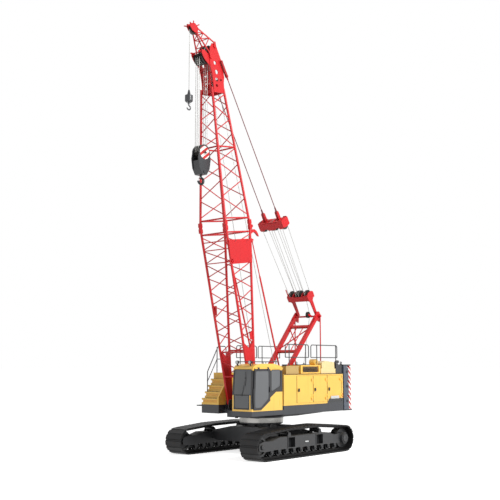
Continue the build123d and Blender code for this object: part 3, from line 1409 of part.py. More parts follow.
def pendants():
    """Two steel pendants from the bridle to the boom head, with a pair of links and pins at the upper end."""
    ropes = []
    low_end = bridle_distance + 545
    joint = line_span - link_joint_distance
    half = pendant_link / 2
    for side in (-1, 1):
        y = side * pendant_y
        socket = line_plate([(low_end - 45, 0), (low_end - 30, 32), (low_end + 30, 36), (low_end + 210, 20),
                             (low_end + 210, -20), (low_end + 30, -36), (low_end - 30, -32)], y - 20, y + 20)
        pieces = [socket, line_disc(low_end, 0, 22, y - half, y + half),
                  rod(on_line(low_end + 180, 0, y), on_line(joint - 70, 0, y), pendant_radius),
                  line_plate([(joint - 150, -20), (joint - 150, 20), (joint + 30, 34), (joint + 30, -34)], y - 18, y + 18),
                  line_disc(joint, 0, 34, y - half, y + half), line_disc(line_span, 0, 34, y - half, y + half)]
        for edge in (-1, 1):
            low, high = sorted((y + edge * half, y + edge * (half - 14)))
            pieces.append(line_plate([(joint - 60, -30), (joint - 40, 48), (joint + 40, 48), (line_span + 20, 44),
                                      (line_span + 55, 0), (line_span + 20, -44), (joint + 40, -48)], low, high))
        low, high = sorted((side * (pendant_y + half - 1), side * (pendant_y + half + 22)))
        ropes.append(join(pieces + [line_disc(distance, 0, 34, low, high) for distance in (joint, line_span)]))
    return ropes


# ---- winches and hooks ----

def winch(x, z, radius):
    """Drum between two stands on the deck."""
    deck = web_top_z - 30
    drum = disc(x, z, radius * 0.72, -winch_half_length, winch_half_length)
    pieces = [drum]
    for side in (-1, 1):
        low, high = sorted((side * (winch_half_length - 70), side * (winch_half_length - 46)))
        pieces.append(disc(x, z, radius, low, high))
        low, high = sorted((side * winch_half_length, side * (winch_half_length + 40)))
        pieces.append(plate([(x - radius * 0.9, deck), (x + radius * 0.9, deck), (x + 90, z + 100), (x - 90, z + 100)],
                            low, high))
    return join(pieces)


head_point = on_boom(head_sheave_t, head_sheave_a, 0)
tip_point = on_boom(tip_t, tip_a, 0)
tip_rope_x = tip_point[0] + tip_sheave_radius - sheave_groove + rope_radius + running_gap


def main_block():
    """Hook block: two cheeks, a heavy body and the crosshead under it."""
    x, z = head_point[0], main_block_z
    pin_z = z + block_sheave_rise
    outline = [(x + 270, pin_z), (x + 320, z + 20), (x + 262, z - 330), (x + 120, z - 560), (x - 120, z - 560),
               (x - 262, z - 330), (x - 320, z + 20), (x - 270, pin_z)]
    pieces = []
    for side in (-1, 1):
        low, high = sorted((side * (main_block_half_width - 34), side * main_block_half_width))
        pieces.append(join([plate(outline, low, high), disc(x, pin_z, block_guard_radius - 20, low, high)]))
        low, high = sorted((side * main_block_half_width, side * (main_block_half_width + 16)))
        pieces.append(disc(x, pin_z, 90, low, high))
    guard = eye(x, pin_z, block_guard_radius, block_guard_radius - 30, -main_block_half_width, main_block_half_width)
    top = pin_z + block_sheave_radius * 0.8
    pieces.append(guard & box((x - 165, x + 165), (-main_block_half_width, main_block_half_width),
                              (top, pin_z + block_guard_radius + 1)))
    body = [(x - 270, z - 60), (x + 270, z - 60), (x + 225, z - 400), (x + 120, z - 560), (x - 120, z - 560),
            (x - 225, z - 400)]
    pieces.append(plate(body, -main_block_half_width + 30, main_block_half_width - 30))
    pieces.append(disc(x, z + block_sheave_rise, sheave_pin_radius, -main_block_half_width - 18,
                       main_block_half_width + 18))
    pieces.append(disc(x, z - 470, 60, -main_block_half_width - 24, main_block_half_width + 24))
    return join(pieces)


def block_sheaves():
    wheels = []
    x, z = head_point[0], main_block_z + block_sheave_rise
    for number in range(block_sheave_count):
        y = (number - (block_sheave_count - 1) / 2) * sheave_spacing
        wheel = spool(x, z, y, block_sheave_radius, sheave_width, sheave_groove, sheave_rim)
        wheels.append(wheel - disc(x, z, sheave_pin_radius + running_gap, y - sheave_width, y + sheave_width))
    return wheels


def hook(x, y, top_z, throat, thickness):
    """Hook with a straight shank and a round bowl that stays open at the front."""
    bowl_z = top_z - throat * 2.5
    middle = throat + thickness / 2
    start = (x, y, top_z)
    lead = (x, y, bowl_z + throat * 1.3)
    bowl = [lead]
    for degree in (150, 180, 225, 270, 315, 350):
        turn = radians(degree)
        bowl.append((x + middle * cos(turn), y, bowl_z + middle * sin(turn)))
    shank = rod(start, lead, thickness * 0.45)
    curve = Spline(bowl[1], bowl[2], bowl[3], bowl[4], bowl[5], bowl[6])
    first = curve @ 0
    profile = Plane(origin=first, z_dir=curve % 0) * RegularPolygon(thickness / 2, 8)
    body = sweep(profile, curve)
    bridge = rod(lead, tuple(first), thickness * 0.47)
    joint = Pos(*tuple(first)) * Sphere(thickness * 0.5)
    knee = Pos(*lead) * Sphere(thickness * 0.47)
    return join([shank, body, bridge, joint, knee])


def main_hook():
    return hook(head_point[0], 0, main_block_z - 560 - seat_gap, main_hook_throat, main_hook_thickness)


def groove_line(radius):
    """Distance of a rope's middle from the pin of its sheave."""
    return radius - sheave_groove + rope_radius + running_gap


def hoist_falls():
    """Straight falls on both sides of each sheave of the block."""
    ropes = []
    x = head_point[0]
    for number in range(block_sheave_count):
        y = (number - (block_sheave_count - 1) / 2) * sheave_spacing
        for side in (-1, 1):
            start = (x + side * groove_line(head_sheave_radius), y, head_point[2])
            end = (x + side * groove_line(block_sheave_radius), y, main_block_z + block_sheave_rise)
            ropes.append(rod(start, end, rope_radius))
    return ropes


cone_height = 160.0


def tip_rope():
    start = aux_weight_z + aux_weight_height / 2 + cone_height + seat_gap
    return rod((tip_rope_x, 0, start), (tip_rope_x, 0, tip_point[2]), rope_radius)


def tip_hook():
    """Weight with a rope cone over it and a small hook under it."""
    x, z = tip_rope_x, aux_weight_z
    half = aux_weight_height / 2
    outline = [(0, z + half + cone_height), (26, z + half + cone_height), (60, z + half),
               (aux_weight_radius, z + half - 50), (aux_weight_radius, z - half + 40),
               (aux_weight_radius - 40, z - half), (34, z - half), (34, z - half - 60), (0, z - half - 60)]
    face = Face(Wire.make_polygon([Vector(x + r, 0, h) for r, h in outline], close=True))
    weight = Solid.revolve(face, 360, Axis((x, 0, 0), (0, 0, 1)))
    return join([weight, hook(x, 0, z - half - 50, aux_hook_throat, 46)])


# ---- nodes ----

spans = door_spans()
nodes = {
    "carbody": carbody(),
    "slew_ring_lower": ring(hub_top_z),
    "side_frame_left": side_frame(),
    "side_frame_right": mirror(side_frame(), Plane.XZ),
    "track_left": track(track_centre),
    "track_right": track(-track_centre),
    "track_wheels": [wheel(y) for wheel in (idler, sprocket) for y in (track_centre, -track_centre)],
    "track_rollers": ([bottom_roller(x, y) for x in roller_places() for y in (track_centre, -track_centre)]
                      + [carrier_roller(x, top, y) for x, top in carriers for y in (track_centre, -track_centre)]),
    "slew_ring_upper": ring(hub_top_z + ring_height + bearing_gap),
    "revolving_frame": revolving_frame(),
    "side_decks": side_decks(),
    "machinery_house": left_house(),
    "engine": engine(),
    "roof_boxes": roof_boxes(),
    "cab_shell": cab_shell(),
    "cab_glass": cab_glass(),
    "operator_seat": operator_seat(),
    "cab_door": cab_door(),
    "cab_door_glass": cab_door_glass(),
    "tank": tank(),
    "right_house": right_house(),
    "guard_rails_left": [rail_loop(*ends, half_width - 110, rail_top_z) for ends in left_rails],
    "guard_rails_right": [stair_rail()] + [rail_loop(*ends, -half_width + 110, rail_top_z)
                                           for ends in right_rails],
    "counterweight_tray": counter_tray(),
    "winches": [winch(*place) for place in winches],
    "gantry_legs": gantry_legs(),
    "gantry_sheave": gantry_sheave(),
    "foot_pins": gantry_pins() + foot_pins(),
    "back_links": back_links(),
    "boom_base": join([boom_base(), rope_guide()] + stop_pads()),
    "boom_top": boom_top(),
    "boom_sheaves": boom_sheaves(),
    "tip_extension": tip_extension(),
    "sign_board": sign_board(),
    "backstop_tubes": [backstop_tube(side) for side in (-1, 1)],
    "backstop_rods": [backstop_rod(side) for side in (-1, 1)],
    "gantry_block": gantry_block(),
    "gantry_block_sheaves": luff_sheaves(block_length, luff_sheave_rows),
    "bridle": bridle(),
    "bridle_sheaves": luff_sheaves(bridle_distance, bridle_sheave_rows),
    "pendants": pendants(),
    "hook_block": main_block(),
    "block_sheaves": block_sheaves(),
    "main_hook": main_hook(),
    "hoist_falls": hoist_falls(),
    "tip_hook": tip_hook(),
    "tip_rope": tip_rope(),
}
for number, (front, rear) in enumerate(spans, 1):
    nodes[f"house_door_{number}"] = house_door(front, rear, door_edges[number])
slab_low = counter_low_z
for number, height in enumerate(slab_heights, 1):
    nodes[f"counterweight_slab_{number}"] = counter_slab(slab_low, slab_low + height)
    slab_low += height

nodes = {name: shape if isinstance(shape, list) else [shape] for name, shape in nodes.items()}
extent = Compound(children=[Compound(shape) for shape in nodes.values()]).bounding_box()
to_middle = Pos(-(extent.min.X + extent.max.X) / 2, -(extent.min.Y + extent.max.Y) / 2, 0)

os.makedirs("parts", exist_ok=True)
for name, shapes in nodes.items():
    moved = [to_middle * shape for shape in shapes]
    export_step(Compound(moved) if len(moved) > 1 else moved[0], f"parts/{name}.step")
print("moved along X by", round(to_middle.position.X, 3))
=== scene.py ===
import bmesh
import bpy
import json
from math import atan2, cos, pi, radians, sin
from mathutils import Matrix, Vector


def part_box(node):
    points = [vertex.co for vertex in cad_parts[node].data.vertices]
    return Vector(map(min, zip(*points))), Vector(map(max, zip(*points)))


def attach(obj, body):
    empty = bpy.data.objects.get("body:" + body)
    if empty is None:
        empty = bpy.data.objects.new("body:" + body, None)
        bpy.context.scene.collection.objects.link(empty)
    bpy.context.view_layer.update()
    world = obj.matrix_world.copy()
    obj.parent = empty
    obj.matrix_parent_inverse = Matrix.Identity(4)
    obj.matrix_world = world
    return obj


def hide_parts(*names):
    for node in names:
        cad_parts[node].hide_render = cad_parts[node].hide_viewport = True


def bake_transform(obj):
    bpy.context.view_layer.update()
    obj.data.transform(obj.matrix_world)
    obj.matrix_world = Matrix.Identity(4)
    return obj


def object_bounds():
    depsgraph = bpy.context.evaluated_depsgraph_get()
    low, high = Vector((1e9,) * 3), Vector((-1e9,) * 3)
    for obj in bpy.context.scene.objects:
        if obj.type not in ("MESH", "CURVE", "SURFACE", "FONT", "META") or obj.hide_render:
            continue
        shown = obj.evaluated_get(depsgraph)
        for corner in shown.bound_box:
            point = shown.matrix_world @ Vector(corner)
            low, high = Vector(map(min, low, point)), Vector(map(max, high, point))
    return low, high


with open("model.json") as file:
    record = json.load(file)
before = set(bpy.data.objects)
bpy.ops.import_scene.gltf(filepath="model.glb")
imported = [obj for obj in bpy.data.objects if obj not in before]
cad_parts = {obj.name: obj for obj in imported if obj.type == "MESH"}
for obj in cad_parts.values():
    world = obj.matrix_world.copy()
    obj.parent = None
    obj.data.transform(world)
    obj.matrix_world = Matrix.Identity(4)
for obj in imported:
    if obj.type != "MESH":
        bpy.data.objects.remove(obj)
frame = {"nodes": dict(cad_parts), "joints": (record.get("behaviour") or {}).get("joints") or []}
cadLow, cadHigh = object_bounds()
nodes = frame["nodes"]
joints = {joint["name"]: joint for joint in frame["joints"]}
slewX = joints["slew"]["pos_m"][0]      # the frame is centred on its box, so the slew axis stands a little off
print("frame loaded:", len(nodes), "nodes")


def linear(code):
    # sRGB hex to the linear values that the shaders take
    channels = [int(code[i:i + 2], 16) / 255 for i in (1, 3, 5)]
    return [c / 12.92 if c <= 0.04045 else ((c + 0.055) / 1.055) ** 2.4 for c in channels] + [1.0]


def emptyTree(owner):
    # clears the nodes of a material or world, and gives the function that adds one
    owner.use_nodes = True
    tree = owner.node_tree
    tree.nodes.clear()

    def add(kind, inputs=(), out=0, **settings):
        # an input goes by its name or number, and is a value or the socket it is fed from; out None gives the node
        node = tree.nodes.new("ShaderNode" + kind)
        for name, value in settings.items():
            setattr(node, name, value)
        for name, value in inputs.items() if isinstance(inputs, dict) else enumerate(inputs):
            if isinstance(value, bpy.types.NodeSocket):
                tree.links.new(value, node.inputs[name])
            else:
                node.inputs[name].default_value = value
        return node if out is None else node.outputs[out]

    return add


def newMaterial(name):
    material = bpy.data.materials.new(name)
    add = emptyTree(material)
    return material, add, add("TexCoord", out="Object")


def closeMaterial(material, add, surface, baseColour):
    add("OutputMaterial", {"Surface": surface}, None).is_active_output = True
    material.diffuse_color = baseColour
    return material


def sprayedEnamel(name, colour, roughness=0.32, coat=0.25, dust=0.10, wear=0.5, pattern=None):
    # two-pack polyurethane enamel sprayed on primed steel: smooth and glossy, with a faint orange peel,
    # thin rain streaks down the sides, dust that settles on top, and primer showing on rubbed edges
    material, add, place = newMaterial(name)
    base = linear(colour)
    paint = pattern(add, place, base) if pattern else base
    streakPlace = add("Mapping", {"Vector": place, "Scale": (9.0, 9.0, 0.7)})      # 110 mm apart, 1.4 m long
    streaks = add("TexNoise", {"Vector": streakPlace, "Scale": 1.0, "Detail": 5.0})
    blotches = add("TexNoise", {"Vector": place, "Scale": 1.6, "Detail": 4.0})      # clouds of 600 mm
    washed = add("MapRange", (streaks, 0.5, 0.8), interpolation_type="SMOOTHSTEP")
    washed = add("Math", (washed, -0.10, 1.0), operation="MULTIPLY_ADD")
    tone = add("Math", (blotches, 0.16, 0.92), operation="MULTIPLY_ADD")
    shaded = add("HueSaturation", {"Value": add("Math", (tone, washed), operation="MULTIPLY"), "Color": paint})
    normal = add("NewGeometry", out="Normal")
    upward = add("MapRange", (add("SeparateXYZ", [normal], "Z"), 0.35, 0.95), interpolation_type="SMOOTHSTEP")
    settled = add("Math", (upward, add("Math", (blotches, dust * 2), operation="MULTIPLY")), operation="MULTIPLY")
    shaded = add("Mix", {0: settled, 6: shaded, 7: linear("#A79E90")}, 2, data_type="RGBA")
    # rubbed edges: the rounded normal departs from the flat one within 4 mm of an edge
    flat = add("VectorMath", (add("Bevel", {"Radius": 0.004}, samples=2), normal), "Value", operation="DOT_PRODUCT")
    edge = add("MapRange", (add("Math", (1.0, flat), operation="SUBTRACT"), 0.03, 0.2),
               interpolation_type="SMOOTHSTEP")
    chips = add("TexNoise", {"Vector": place, "Scale": 26.0, "Detail": 6.0})      # 40 mm, ragged down to 1 mm
    chips = add("MapRange", (chips, 0.52, 0.66), interpolation_type="SMOOTHSTEP")
    rubbed = add("Math", (edge, add("Math", (chips, wear), operation="MULTIPLY")), operation="MULTIPLY")
    shaded = add("Mix", {0: rubbed, 6: shaded, 7: linear("#6C6864")}, 2, data_type="RGBA")
    # orange peel: spray droplets about 1.5 mm across
    peel = add("TexNoise", {"Vector": place, "Scale": 650.0, "Detail": 1.0})
    bump = add("Bump", {"Height": peel, "Strength": 0.05, "Distance": 0.0004})
    rough = add("Math", (streaks, 0.14, roughness - 0.05), operation="MULTIPLY_ADD")
    rough = add("Math", (settled, 1.2, rough), operation="MULTIPLY_ADD")
    shader = add("BsdfPrincipled", {"Base Color": shaded, "Roughness": rough, "IOR": 1.5, "Coat Weight": coat,
                                    "Coat Roughness": 0.12, "Normal": bump})
    return closeMaterial(material, add, shader, base)


def bareSteel(name, colour, roughness=0.42, metallic=0.9, tool=(600.0, 600.0, 12.0), rust=0.15, rustColour="#5A3A26"):
    # bare steel left as it was turned, forged or cast: metal with fine tool marks and thin rust in patches.
    # The marks are counted per metre along each axis: 600 is one in 1.7 mm, coarse enough to show
    material, add, place = newMaterial(name)
    base = linear(colour)
    marks = add("TexNoise", {"Vector": add("Mapping", {"Vector": place, "Scale": tool}), "Scale": 1.0, "Detail": 3.0})
    patches = add("TexNoise", {"Vector": place, "Scale": 5.0, "Detail": 7.0, "Roughness": 0.65})      # 200 mm
    tone = add("Math", (patches, 0.4, 0.8), operation="MULTIPLY_ADD")
    rusty = add("MapRange", (patches, 0.52, 0.72), interpolation_type="SMOOTHSTEP")
    rusty = add("Math", (rusty, rust), operation="MULTIPLY")
    shaded = add("HueSaturation", {"Value": tone, "Color": base})
    shaded = add("Mix", {0: rusty, 6: shaded, 7: linear(rustColour)}, 2, data_type="RGBA")
    bump = add("Bump", {"Height": marks, "Strength": 0.25, "Distance": 0.0008})
    rough = add("Math", (rusty, 0.6, roughness - 0.1), operation="MULTIPLY_ADD")
    rough = add("Math", (marks, 0.2, rough), operation="MULTIPLY_ADD")
    shader = add("BsdfPrincipled", {"Base Color": shaded, "Roughness": rough, "Metallic": metallic, "Normal": bump})
    return closeMaterial(material, add, shader, base)


def mouldedRubber(name, colour, roughness=0.6, grain=900.0, height=0.0003):
    # moulded rubber or plastic: matt, with a spark-eroded grain from the mould, counted in pits per metre
    # and drawn at 1 to 3 mm, coarser than the real one, so that it shows
    material, add, place = newMaterial(name)
    base = linear(colour)
    pores = add("TexVoronoi", {"Vector": place, "Scale": grain}, "Distance")
    wear = add("TexNoise", {"Vector": place, "Scale": 14.0, "Detail": 4.0})      # rubbed patches of 70 mm
    tone = add("Math", (wear, 0.5, 0.75), operation="MULTIPLY_ADD")
    shaded = add("HueSaturation", {"Value": tone, "Color": base})
    bump = add("Bump", {"Height": pores, "Strength": 0.3, "Distance": height})
    rough = add("Math", (wear, 0.25, roughness - 0.12), operation="MULTIPLY_ADD")
    shader = add("BsdfPrincipled", {"Base Color": shaded, "Roughness": rough, "IOR": 1.52, "Normal": bump})
    return closeMaterial(material, add, shader, base)


def clearPane(name, tint, roughness=0.03, share=0.55):
    # laminated safety glass with a grey tint: thin, so light goes straight through instead of bending
    material, add, place = newMaterial(name)
    base = linear(tint)
    film = add("TexNoise", {"Vector": place, "Scale": 3.0, "Detail": 5.0})      # dusty film in clouds of 330 mm
    rough = add("Math", (film, 0.08, roughness), operation="MULTIPLY_ADD")
    gloss = add("BsdfPrincipled", {"Base Color": base, "Roughness": rough, "IOR": 1.52, "Coat Weight": 0.3})
    through = add("BsdfTransparent", {"Color": linear("#B4B9B8")})
    return closeMaterial(material, add, add("MixShader", (share, through, gloss)), base)


def where(add, *tests):
    # 1 where every test of a value against its limit holds, and 0 elsewhere
    share = 1.0
    for value, sign, limit in tests:
        passed = add("Math", (value, limit), operation={">": "GREATER_THAN", "<": "LESS_THAN"}[sign])
        share = add("Math", (share, passed), operation="MULTIPLY")
    return share


def counterweightPaint(add, place, base):
    # blue-grey blocks with a dark cap and reflective warning tape round both rounded rear corners
    tape = {"band": 0.27, "pitch": 0.2025, "capHeight": 0.05, "cap": "#2E3033", "white": "#F1F0EC", "red": "#C4201F"}
    low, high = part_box("counterweight_slab_1")[0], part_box("counterweight_slab_3")[1]
    capZ = high.z - tape["capHeight"]
    x, y, z = add("SeparateXYZ", [place], None).outputs
    across = add("Math", [y], operation="ABSOLUTE")
    paint = add("Mix", {0: where(add, (z, ">", capZ)), 6: base, 7: linear(tape["cap"])}, 2, data_type="RGBA")
    taped = where(add, (x, "<", low.x + tape["band"]), (across, ">", high.y - tape["band"]), (z, "<", capZ))
    along = add("Math", (z, add("Math", (across, x), operation="SUBTRACT")), operation="ADD")
    turns = add("Math", [add("Math", (along, tape["pitch"]), operation="DIVIDE")], operation="FRACT")
    bars = add("Mix", {0: where(add, (turns, ">", 0.5)), 6: linear(tape["white"]), 7: linear(tape["red"])}, 2,
               data_type="RGBA")
    return add("Mix", {0: taped, 6: paint, 7: bars}, 2, data_type="RGBA")


def hookBlockPaint(add, place, base):
    # dark grey block with red and white diagonal bars on the upper half of its cheeks
    bars = {"lean": (0.62, 0.0, 0.78), "pitch": 0.20, "cheek": 0.045, "lowShare": 0.46, "pinDrop": 0.30,
            "reach": 0.245, "red": "#B9231F", "white": "#E4E2DD"}
    low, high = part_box("hook_block")
    x, y, z = add("SeparateXYZ", [place], None).outputs
    beside = add("VectorMath", (place, (1, 0, 1)), operation="MULTIPLY")
    fromPin = add("VectorMath", (beside, ((low.x + high.x) / 2, 0, high.z - bars["pinDrop"])), "Value",
                  operation="DISTANCE")
    painted = where(add, (add("Math", [y], operation="ABSOLUTE"), ">", high.y - bars["cheek"]),
                    (z, ">", low.z + bars["lowShare"] * (high.z - low.z)), (fromPin, "<", bars["reach"]))
    along = add("VectorMath", (place, bars["lean"]), "Value", operation="DOT_PRODUCT")
    turns = add("Math", [add("Math", (along, bars["pitch"]), operation="DIVIDE")], operation="FRACT")
    colours = add("Mix", {0: where(add, (turns, ">", 0.5)), 6: linear(bars["red"]), 7: linear(bars["white"])}, 2,
                  data_type="RGBA")
    return add("Mix", {0: painted, 6: base, 7: colours}, 2, data_type="RGBA")


def cabPaint(add, place, base):
    # yellow cab with satin black window pillars in front, a dark side above the sloping sill, and a yellow roof
    trim = {"roofEdge": 0.235, "sideDepth": 0.10, "noseDepth": 0.13, "sillFront": 0.46, "sillSlope": 0.604,
            "sillZ": 1.79, "sillLow": 1.755, "sillHigh": 2.33, "screenZ": 2.235, "rimZ": 1.732, "rimMiddle": 1.1125,
            "rimHalf": 0.372, "black": "#1B1C1E"}
    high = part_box("cab_shell")[1]
    x, y, z = add("SeparateXYZ", [place], None).outputs
    under, nose = (z, "<", high.z - trim["roofEdge"]), (x, ">", high.x - trim["noseDepth"])
    # sill of the side: low in front, rising to the rear
    sill = add("Math", (high.x - trim["sillFront"], x), operation="SUBTRACT")
    sill = add("Math", (sill, trim["sillSlope"], trim["sillZ"]), operation="MULTIPLY_ADD")
    sill = add("Math", (add("Math", (sill, trim["sillLow"]), operation="MAXIMUM"), trim["sillHigh"]),
               operation="MINIMUM")
    offMiddle = add("Math", [add("Math", (y, trim["rimMiddle"]), operation="SUBTRACT")], operation="ABSOLUTE")
    screen = where(add, under, nose, (z, ">", trim["screenZ"]))
    rim = where(add, under, nose, (z, ">", trim["rimZ"]), (offMiddle, "<", trim["rimHalf"]))
    dark = where(add, under, (y, ">", high.y - trim["sideDepth"]), (z, ">", sill))
    for part in (screen, rim):
        dark = add("Math", (dark, part), operation="MAXIMUM")
    return add("Mix", {0: dark, 6: base, 7: linear(trim["black"])}, 2, data_type="RGBA")


def housePaint(add, place, base):
    # yellow panels over a dark grey strip along the foot, which steps up at the rear, and dark door handles
    strip = {"height": 0.012, "stepUp": 0.18, "stepX": (2.07, 2.25), "wall": 0.045, "handleDepth": 0.012,
             "handleZ": 2.36, "handleHalf": 0.1, "grey": "#2C2E31"}
    (low, high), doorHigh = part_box("machinery_house"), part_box("house_door_1")[1]
    x, y, z = add("SeparateXYZ", [place], None).outputs
    step = add("MapRange", (add("Math", (x, -1.0), operation="MULTIPLY"), *[edge - slewX for edge in strip["stepX"]]),
               interpolation_type="SMOOTHSTEP")
    step = add("Math", (step, where(add, (y, ">", high.y - strip["wall"]))), operation="MULTIPLY")
    limit = add("Math", (step, strip["stepUp"], low.z + strip["height"]), operation="MULTIPLY_ADD")
    offHandle = add("Math", [add("Math", (z, strip["handleZ"]), operation="SUBTRACT")], operation="ABSOLUTE")
    handle = where(add, (y, ">", doorHigh.y - strip["handleDepth"]), (offHandle, "<", strip["handleHalf"]))
    dark = add("Math", (where(add, (z, "<", limit)), handle), operation="MAXIMUM")
    return add("Mix", {0: dark, 6: base, 7: linear(strip["grey"])}, 2, data_type="RGBA")


def roofPaint(add, place, base):
    # yellow filter box, sand-coloured intake frame, cream exhaust base and a black box at the tail
    x = add("SeparateXYZ", [place], "X")
    paint = base
    for sign, limit, colour in (("<", -1.75, "#E8CF95"), ("<", -2.775, "#2A2B2D"), (">", -0.42, "#B99A5B")):
        paint = add("Mix", {0: where(add, (x, sign, slewX + limit)), 6: paint, 7: linear(colour)}, 2,
                    data_type="RGBA")
    return paint


def pendantPaint(add, place, base):
    # red link plates at the top, dark greased strand below
    plates = {"length": 0.45, "red": "#A5161B"}
    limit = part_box("boom_sheaves")[0].z - plates["length"]
    upper = where(add, (add("SeparateXYZ", [place], "Z"), ">", limit))
    return add("Mix", {0: upper, 6: base, 7: linear(plates["red"])}, 2, data_type="RGBA")


materials = {
    "castTrackShoes": bareSteel("castManganeseSteel", "#1C1C1D", 0.5, 0.55, (90.0, 90.0, 90.0), 0.35, "#3B2E26"),
    "undercarriage": sprayedEnamel("chassisBlackEnamel", "#242527", 0.42, 0.1, 0.16, 0.35),
    "machinedRing": bareSteel("machinedBearingSteel", "#A9A8A4", 0.3, 0.95, (20.0, 20.0, 700.0), 0.12),
    "deck": sprayedEnamel("deckGreyEnamel", "#33353A", 0.4, 0.15, 0.2, 0.4),
    "yellow": sprayedEnamel("houseYellowEnamel", "#F3C254", 0.3, 0.3, 0.1, 0.3, housePaint),
    "roof": sprayedEnamel("roofBoxEnamel", "#F3C254", 0.32, 0.25, 0.12, 0.3, roofPaint),
    "pendant": sprayedEnamel("pendantEnamel", "#6E2A2E", 0.45, 0.1, 0.05, 0.3, pendantPaint),
    "cabYellow": sprayedEnamel("cabTwoToneEnamel", "#F3C254", 0.28, 0.4, 0.08, 0.25, cabPaint),
    "red": sprayedEnamel("boomRedEnamel", "#C40A14", 0.45, 0.05, 0.06, 0.3),
    "blueGrey": sprayedEnamel("counterweightBlueGreyEnamel", "#4B525E", 0.42, 0.15, 0.12, 0.4, counterweightPaint),
    "darkFrame": sprayedEnamel("doorFrameSatinEnamel", "#222326", 0.38, 0.2, 0.05, 0.3),
    "darkRail": sprayedEnamel("railSatinEnamel", "#2B2C2F", 0.42, 0.1, 0.05, 0.5),
    "engineGrey": sprayedEnamel("engineEnamel", "#474B4F", 0.45, 0.1, 0.15, 0.5),
    "winchGrey": sprayedEnamel("winchEnamel", "#45474B", 0.45, 0.1, 0.15, 0.5),
    "sheave": bareSteel("castSheaveSteel", "#3A3937", 0.45, 0.6, (50.0, 50.0, 50.0), 0.25),
    "hookBlock": sprayedEnamel("hookBlockEnamel", "#2B2D30", 0.4, 0.15, 0.06, 0.7, hookBlockPaint),
    "forged": bareSteel("forgedHookSteel", "#2A2A2B", 0.5, 0.6, (70.0, 70.0, 70.0), 0.25),
    "wireRope": bareSteel("galvanisedWireRope", "#A8A7A3", 0.45, 0.6, (300.0, 300.0, 300.0), 0.1, "#6B645A"),
    "darkBolt": bareSteel("blackenedBoltSteel", "#3A3B3C", 0.45, 0.6, (400.0, 400.0, 400.0), 0.2),
    "lens": clearPane("lampLens", "#D8DADA", 0.05, 0.9),
    "paleSign": sprayedEnamel("blankSignPlate", "#C9CBCB", 0.4, 0.1, 0.05, 0.2),
    "reflector": mouldedRubber("redReflectorPlastic", "#B5161A", 0.3, 300.0, 0.0005),
    "glass": clearPane("laminatedGreyGlass", "#8E9093", 0.03, 0.5),
    "seatCloth": mouldedRubber("seatVinyl", "#202124", 0.62, 500.0, 0.0006),
    "rubber": mouldedRubber("mouldedGasketRubber", "#151617", 0.6),
    "plastic": mouldedRubber("blackMouldedPlastic", "#1C1D1F", 0.45, 1200.0, 0.0002),
    "pin": bareSteel("groundPinSteel", "#8E8E8C", 0.32, 0.95, (500.0, 500.0, 500.0), 0.08),
}

nodeFinish = {
    "undercarriage": ("carbody", "side_frame_left", "side_frame_right", "track_wheels", "track_rollers"),
    "castTrackShoes": ("track_left", "track_right"),
    "machinedRing": ("slew_ring_lower", "slew_ring_upper"),
    "deck": ("revolving_frame", "side_decks", "counterweight_tray"),
    "yellow": ("machinery_house", "tank", "right_house", "house_door_1", "house_door_2", "house_door_3"),
    "cabYellow": ("cab_shell",),
    "darkFrame": ("cab_door",),
    "glass": ("cab_glass", "cab_door_glass"),
    "seatCloth": ("operator_seat",),
    "darkRail": ("guard_rails_left", "guard_rails_right"),
    "engineGrey": ("engine",),
    "winchGrey": ("winches",),
    "red": ("gantry_legs", "back_links", "boom_base", "boom_top", "tip_extension", "sign_board", "backstop_tubes",
            "backstop_rods", "gantry_block", "bridle"),
    "sheave": ("boom_sheaves", "gantry_sheave", "gantry_block_sheaves", "bridle_sheaves", "block_sheaves"),
    "pendant": ("pendants",),
    "roof": ("roof_boxes",),
    "blueGrey": ("counterweight_slab_1", "counterweight_slab_2", "counterweight_slab_3"),
    "hookBlock": ("hook_block", "tip_hook"),
    "forged": ("main_hook",),
    "wireRope": ("hoist_falls", "tip_rope"),
    "pin": ("foot_pins",),
}
for look, names in nodeFinish.items():
    for name in names:
        nodes[name].data.materials.clear()
        nodes[name].data.materials.append(materials[look])
bare = [name for name in nodes if name not in sum(nodeFinish.values(), ())]
print("materials on", len(nodes) - len(bare), "nodes; left over:", bare)

# tools for the added pieces; places are taken from the slew axis, a little off the middle of the frame
boom = {"footX": 1.142, "footZ": 1.9, "lean": radians(81.75), "pendantT": 12.83, "pendantA": -0.25}
gantryPin = {"x": -2.98, "z": 5.38}
alongX, alongZ = cos(boom["lean"]), sin(boom["lean"])


def at(x, y, z):
    return Vector((x + slewX, y, z))


def onBoom(t, a, y):
    # along the boom from its foot pin, forward of it, and to the left
    return at(boom["footX"] + t * alongX + a * alongZ, y, boom["footZ"] + t * alongZ - a * alongX)


luffingLine = (onBoom(boom["pendantT"], boom["pendantA"], 0) - at(gantryPin["x"], 0, gantryPin["z"])).normalized()


def onLine(d, offset, y):
    # along the luffing line from the gantry pin, forward of it, and to the left
    return at(gantryPin["x"] + luffingLine.x * d + luffingLine.z * offset, y,
              gantryPin["z"] + luffingLine.z * d - luffingLine.x * offset)


def deselect():
    if bpy.context.mode != "OBJECT":
        bpy.ops.object.mode_set(mode="OBJECT")
    bpy.ops.object.select_all(action="DESELECT")


def pick(pieces):
    deselect()
    for piece in pieces:
        piece.select_set(True)
    bpy.context.view_layer.objects.active = pieces[0]


def edit(piece, mode="VERT", everything=True):
    pick([piece])
    bpy.ops.object.mode_set(mode="EDIT")
    bpy.ops.mesh.select_mode(type=mode)
    bpy.ops.mesh.select_all(action="SELECT" if everything else "DESELECT")
    return bmesh.from_edit_mesh(piece.data)


def selectFaces(piece, test):
    # faces whose middle and normal pass a test, in the piece's own axes
    mesh = edit(piece, "FACE", False)
    for face in mesh.faces:
        face.select_set(bool(test(face.calc_center_median(), face.normal)))
    bmesh.update_edit_mesh(piece.data)


